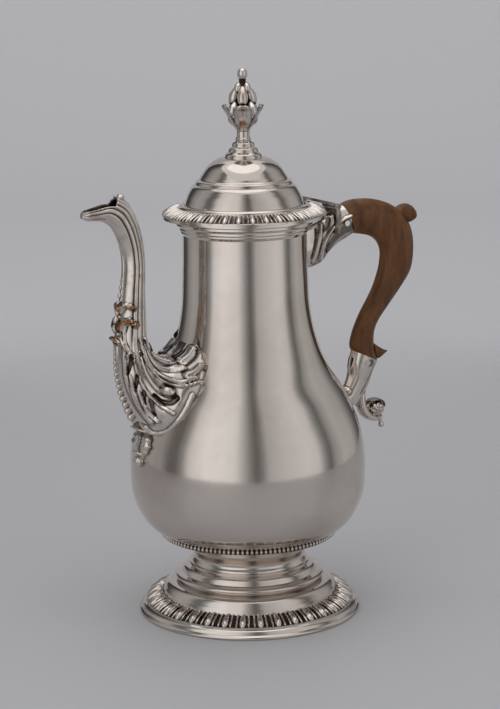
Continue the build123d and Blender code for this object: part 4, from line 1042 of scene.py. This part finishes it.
LOWER_CHASING = (
    (2.7, 2.7, -0.4, -0.6, ((76.0, 134.6), (76.4, 134.5))),
    (0.9, 1.1, -0.6, -0.5, ((79.6, 133.0), (76.6, 127.4), (73.6, 122.4), (70.4, 117.0))),
    (1.0, 1.1, -0.8, -0.9, ((65.8, 137.4), (64.0, 131.0), (62.6, 126.0), (59.4, 121.0))),
    (1.9, 1.9, 1.2, 0.6, ((61.8, 119.4), (62.2, 118.8))),
)


def bridged_ovals(form, sections, segments=136, steps=12):
    """A closed form through ovals, each given by its outer and inner points (x, z) and its half width."""
    runs = zip(*[(outer, inner, (10 * n, wide)) for n, (outer, inner, wide) in enumerate(sections)])
    made, loops = [], []
    for outer, inner, wide in zip(*(curve_through(run, steps=steps) for run in runs)):
        ring = bmesh.ops.create_circle(form, segments=segments, radius=1.0)["verts"]
        bmesh.ops.scale(form, verts=ring, vec=((outer - inner).length / 2, wide.y, 1))
        made += ring
        loops.append(stood_up(form, ring, outer, inner))
    bridged(form, loops)
    for loop in (loops[0], loops[-1]):
        bmesh.ops.contextual_create(form, geom=list(loop))
    return made


def chase(form, made, strokes):
    """Raises and sinks chased strokes on both cheeks of some vertices, marking their copper rubbing and their
    painted tarnish and shade in hollows.
    """
    bmesh.ops.recalc_face_normals(form, faces=form.faces)
    form.normal_update()
    layer = wear_and_shade_layer(form)
    spots = np.array([(vertex.co.x, vertex.co.z) for vertex in made])
    height, wear_and_shade = relief_at(spots, np.zeros(len(spots)), strokes)
    for vertex, rise, rubbed in zip(made, height, wear_and_shade):
        facing = cheek_share(vertex)
        vertex.co += vertex.normal * float(rise) * facing
        # copper rubbing above 0, painted tarnish and shade below 0
        vertex[layer] = float(rubbed) * facing


def sleeve(name, sections, chasing):
    """A socket's hollow-cast sleeve with its chased cheeks."""
    form = bmesh.new()
    wear_and_shade_layer(form)
    chase(form, bridged_ovals(form, sections), chasing)
    return finished_mesh(form, name, worn, crease=45)


def scroll():
    """The scroll under the lower socket: a strap round a fluted ball, a leaf over it and beads below; the leaf
    and the ball's flutes are painted dark as shade.
    """
    form = bmesh.new()
    layer = wear_and_shade_layer(form)
    bridged_ovals(form, SCROLL, segments=40, steps=7)
    for vertex in bridged_ovals(form, CURL_LEAF, segments=32, steps=7):
        # painted shade: the leaf tucked in the curl is marked dark
        vertex[layer] = -0.55

    def fluted(vertex):
        flute = math.cos(7 * (math.atan2(vertex.co.z, vertex.co.x) + 1.1 * vertex.co.y))
        # copper on the flutes' crests, painted shade in their valleys
        vertex[layer] = 0.4 * max(0.0, flute) - 0.5 * max(0.0, -flute)
        vertex.co *= 0.96 + 0.04 * flute

    add_ball(form, (4.8, 5.0, 4.8), (82.8, 0, 106.0), fluted, divisions=5)
    for x, z, radius in ((85.8, 98.4, 1.3), (86.3, 96.0, 1.8)):
        add_ball(form, (radius, radius, radius), (x, 0, z))
    bmesh.ops.recalc_face_normals(form, faces=form.faces)
    return finished_mesh(form, "scroll", worn, crease=45)


dressed(sleeve("upper_sleeve", UPPER_SLEEVE, UPPER_CHASING), "pot", "worn_silver", "upper_socket")
dressed(sleeve("lower_sleeve", LOWER_SLEEVE, LOWER_CHASING), "pot", "worn_silver", "lower_socket")
dressed(scroll(), "pot", "worn_silver", "scroll_ball")

# -------- floor, backdrop and soft light
CAMERA_SPOT = Vector((-0.5022, -1.0345, 0.38146))
CAMERA_AIM = Vector((0.00189, -0.00092, 0.146))
CAMERA_ROLL = -0.0137
HEADING = math.atan2(CAMERA_AIM.y - CAMERA_SPOT.y, CAMERA_AIM.x - CAMERA_SPOT.x)


def studio_sweep():
    """A plain floor that curves up into the backdrop, square to the camera, painted a little lighter with
    height as a painted light falloff.
    """
    finish = Finish("studio grey", roughness=0.6)
    height = finish.add("ShaderNodeSeparateXYZ", {"Vector": finish.place()}).outputs["Z"]
    # painted light: the sweep is painted lighter from the floor up the backdrop
    shade = finish.between(height, 0.0, 0.9)
    finish.surface({"Base Color": finish.blend(shade, linear(196, 196, 199), linear(206, 206, 206))})
    form = bmesh.new()
    half_width, front, back, bend, top = 3.0, -2.6, 2.4, 0.7, 2.6
    outline = [Vector((front, 0)), Vector((back - bend, 0))]
    for step in range(1, 12):
        turn = math.radians(90) * step / 12
        outline.append(Vector((back - bend + bend * math.sin(turn), bend - bend * math.cos(turn))))
    outline += [Vector((back, bend)), Vector((back, top))]
    row = [form.verts.new((p.x, -half_width, p.y)) for p in outline]
    edges = [form.edges.new(pair) for pair in zip(row, row[1:])]
    across = bmesh.ops.extrude_edge_only(form, edges=edges)
    moved = [v for v in across["geom"] if isinstance(v, bmesh.types.BMVert)]
    bmesh.ops.translate(form, verts=moved, vec=(0, 2 * half_width, 0))
    bmesh.ops.rotate(form, verts=form.verts, cent=(0, 0, 0), matrix=Matrix.Rotation(HEADING, 3, "Z"))
    bmesh.ops.recalc_face_normals(form, faces=form.faces)
    return finished_mesh(form, "studio_sweep", finish.material, unit=1.0)


# brightness of the light tent's cloth against the azimuth in degrees, to the right of the camera's view
TENT_BANDS = (
    (-150, 0.04), (-133, 0.08), (-120, 0.30), (-105, 0.42), (-90, 0.38), (-80, 0.18), (-72, 0.16), (-64, 0.36),
    (-57, 0.80), (-40, 1.00), (-25, 0.94), (-12, 0.84), (-5, 0.55), (2, 0.28), (8, 0.14), (13, 0.22),
    (20, 0.50), (35, 0.62), (58, 0.74), (70, 0.68), (78, 0.30), (85, 0.14), (92, 0.34), (104, 0.50),
    (124, 0.44), (140, 0.14), (152, 0.04),
)
TENT_RADIUS, TENT_FOOT, TENT_TOP = 0.8, 0.004, 1.25


def light_tent():
    """A tall curved cloth round the pot, open at the back, whose dark and bright bands the silver mirrors."""
    finish = Finish("tent cloth")
    place = finish.add("ShaderNodeSeparateXYZ", {"Vector": finish.place()}).outputs
    azimuth = finish.combine("ARCTAN2", place["Y"], place["X"])
    bands = finish.add("ShaderNodeValToRGB", {"Fac": finish.between(azimuth, -math.pi, math.pi)})
    stops = bands.color_ramp.elements
    stops.remove(stops[0])
    for index, (degrees, brightness) in enumerate(TENT_BANDS):
        position = 0.5 + degrees / 360
        stop = stops[0] if index == 0 else stops.new(position)
        stop.position = position
        stop.color = (brightness, brightness, brightness, 1)
    glow = finish.add("ShaderNodeEmission", {"Color": bands.outputs["Color"]}).outputs["Emission"]
    finish.feed(finish.tree.nodes["Material Output"], {"Surface": glow})
    first, last = math.radians(TENT_BANDS[0][0]), math.radians(TENT_BANDS[-1][0])
    form = bmesh.new()
    foot_x, foot_y = TENT_RADIUS * math.cos(first), TENT_RADIUS * math.sin(first)
    pole = [form.verts.new((foot_x, foot_y, z)) for z in (TENT_FOOT, TENT_TOP)]
    edge = form.edges.new(pole)
    bmesh.ops.spin(form, geom=[*pole, edge], cent=(0, 0, 0), axis=(0, 0, 1), angle=last - first, steps=72)
    cloth = finished_mesh(form, "light_tent", finish.material, unit=1.0)
    cloth.rotation_euler = (0, 0, HEADING + math.pi)
    cloth.visible_camera = False
    return cloth


studio_sweep()
light_tent()

overhead = bpy.data.lights.new("overhead_softbox", "AREA")
overhead.shape = "DISK"
overhead.size = 1.1
overhead.energy = 0.6 * math.pi * (overhead.size / 2) ** 2 * math.pi
top = bpy.data.objects.new("overhead_softbox", overhead)
top.location = (0, 0, TENT_TOP + 0.05)
scene.collection.objects.link(top)

world = bpy.data.worlds.new("studio air")
world.use_nodes = True
world.node_tree.nodes["Background"].inputs["Color"].default_value = linear(200, 200, 201)
world.node_tree.nodes["Background"].inputs["Strength"].default_value = 1.5
scene.world = world

# -------- camera
lens = bpy.data.cameras.new("camera")
lens.lens = 106.87
camera = bpy.data.objects.new("camera", lens)
camera.location = CAMERA_SPOT
camera.rotation_mode = "QUATERNION"
aim = (CAMERA_AIM - CAMERA_SPOT).to_track_quat("-Z", "Y")
camera.rotation_quaternion = aim @ Quaternion((0, 0, 1), CAMERA_ROLL)
scene.collection.objects.link(camera)
scene.camera = camera
scene.view_settings.view_transform = "Standard"
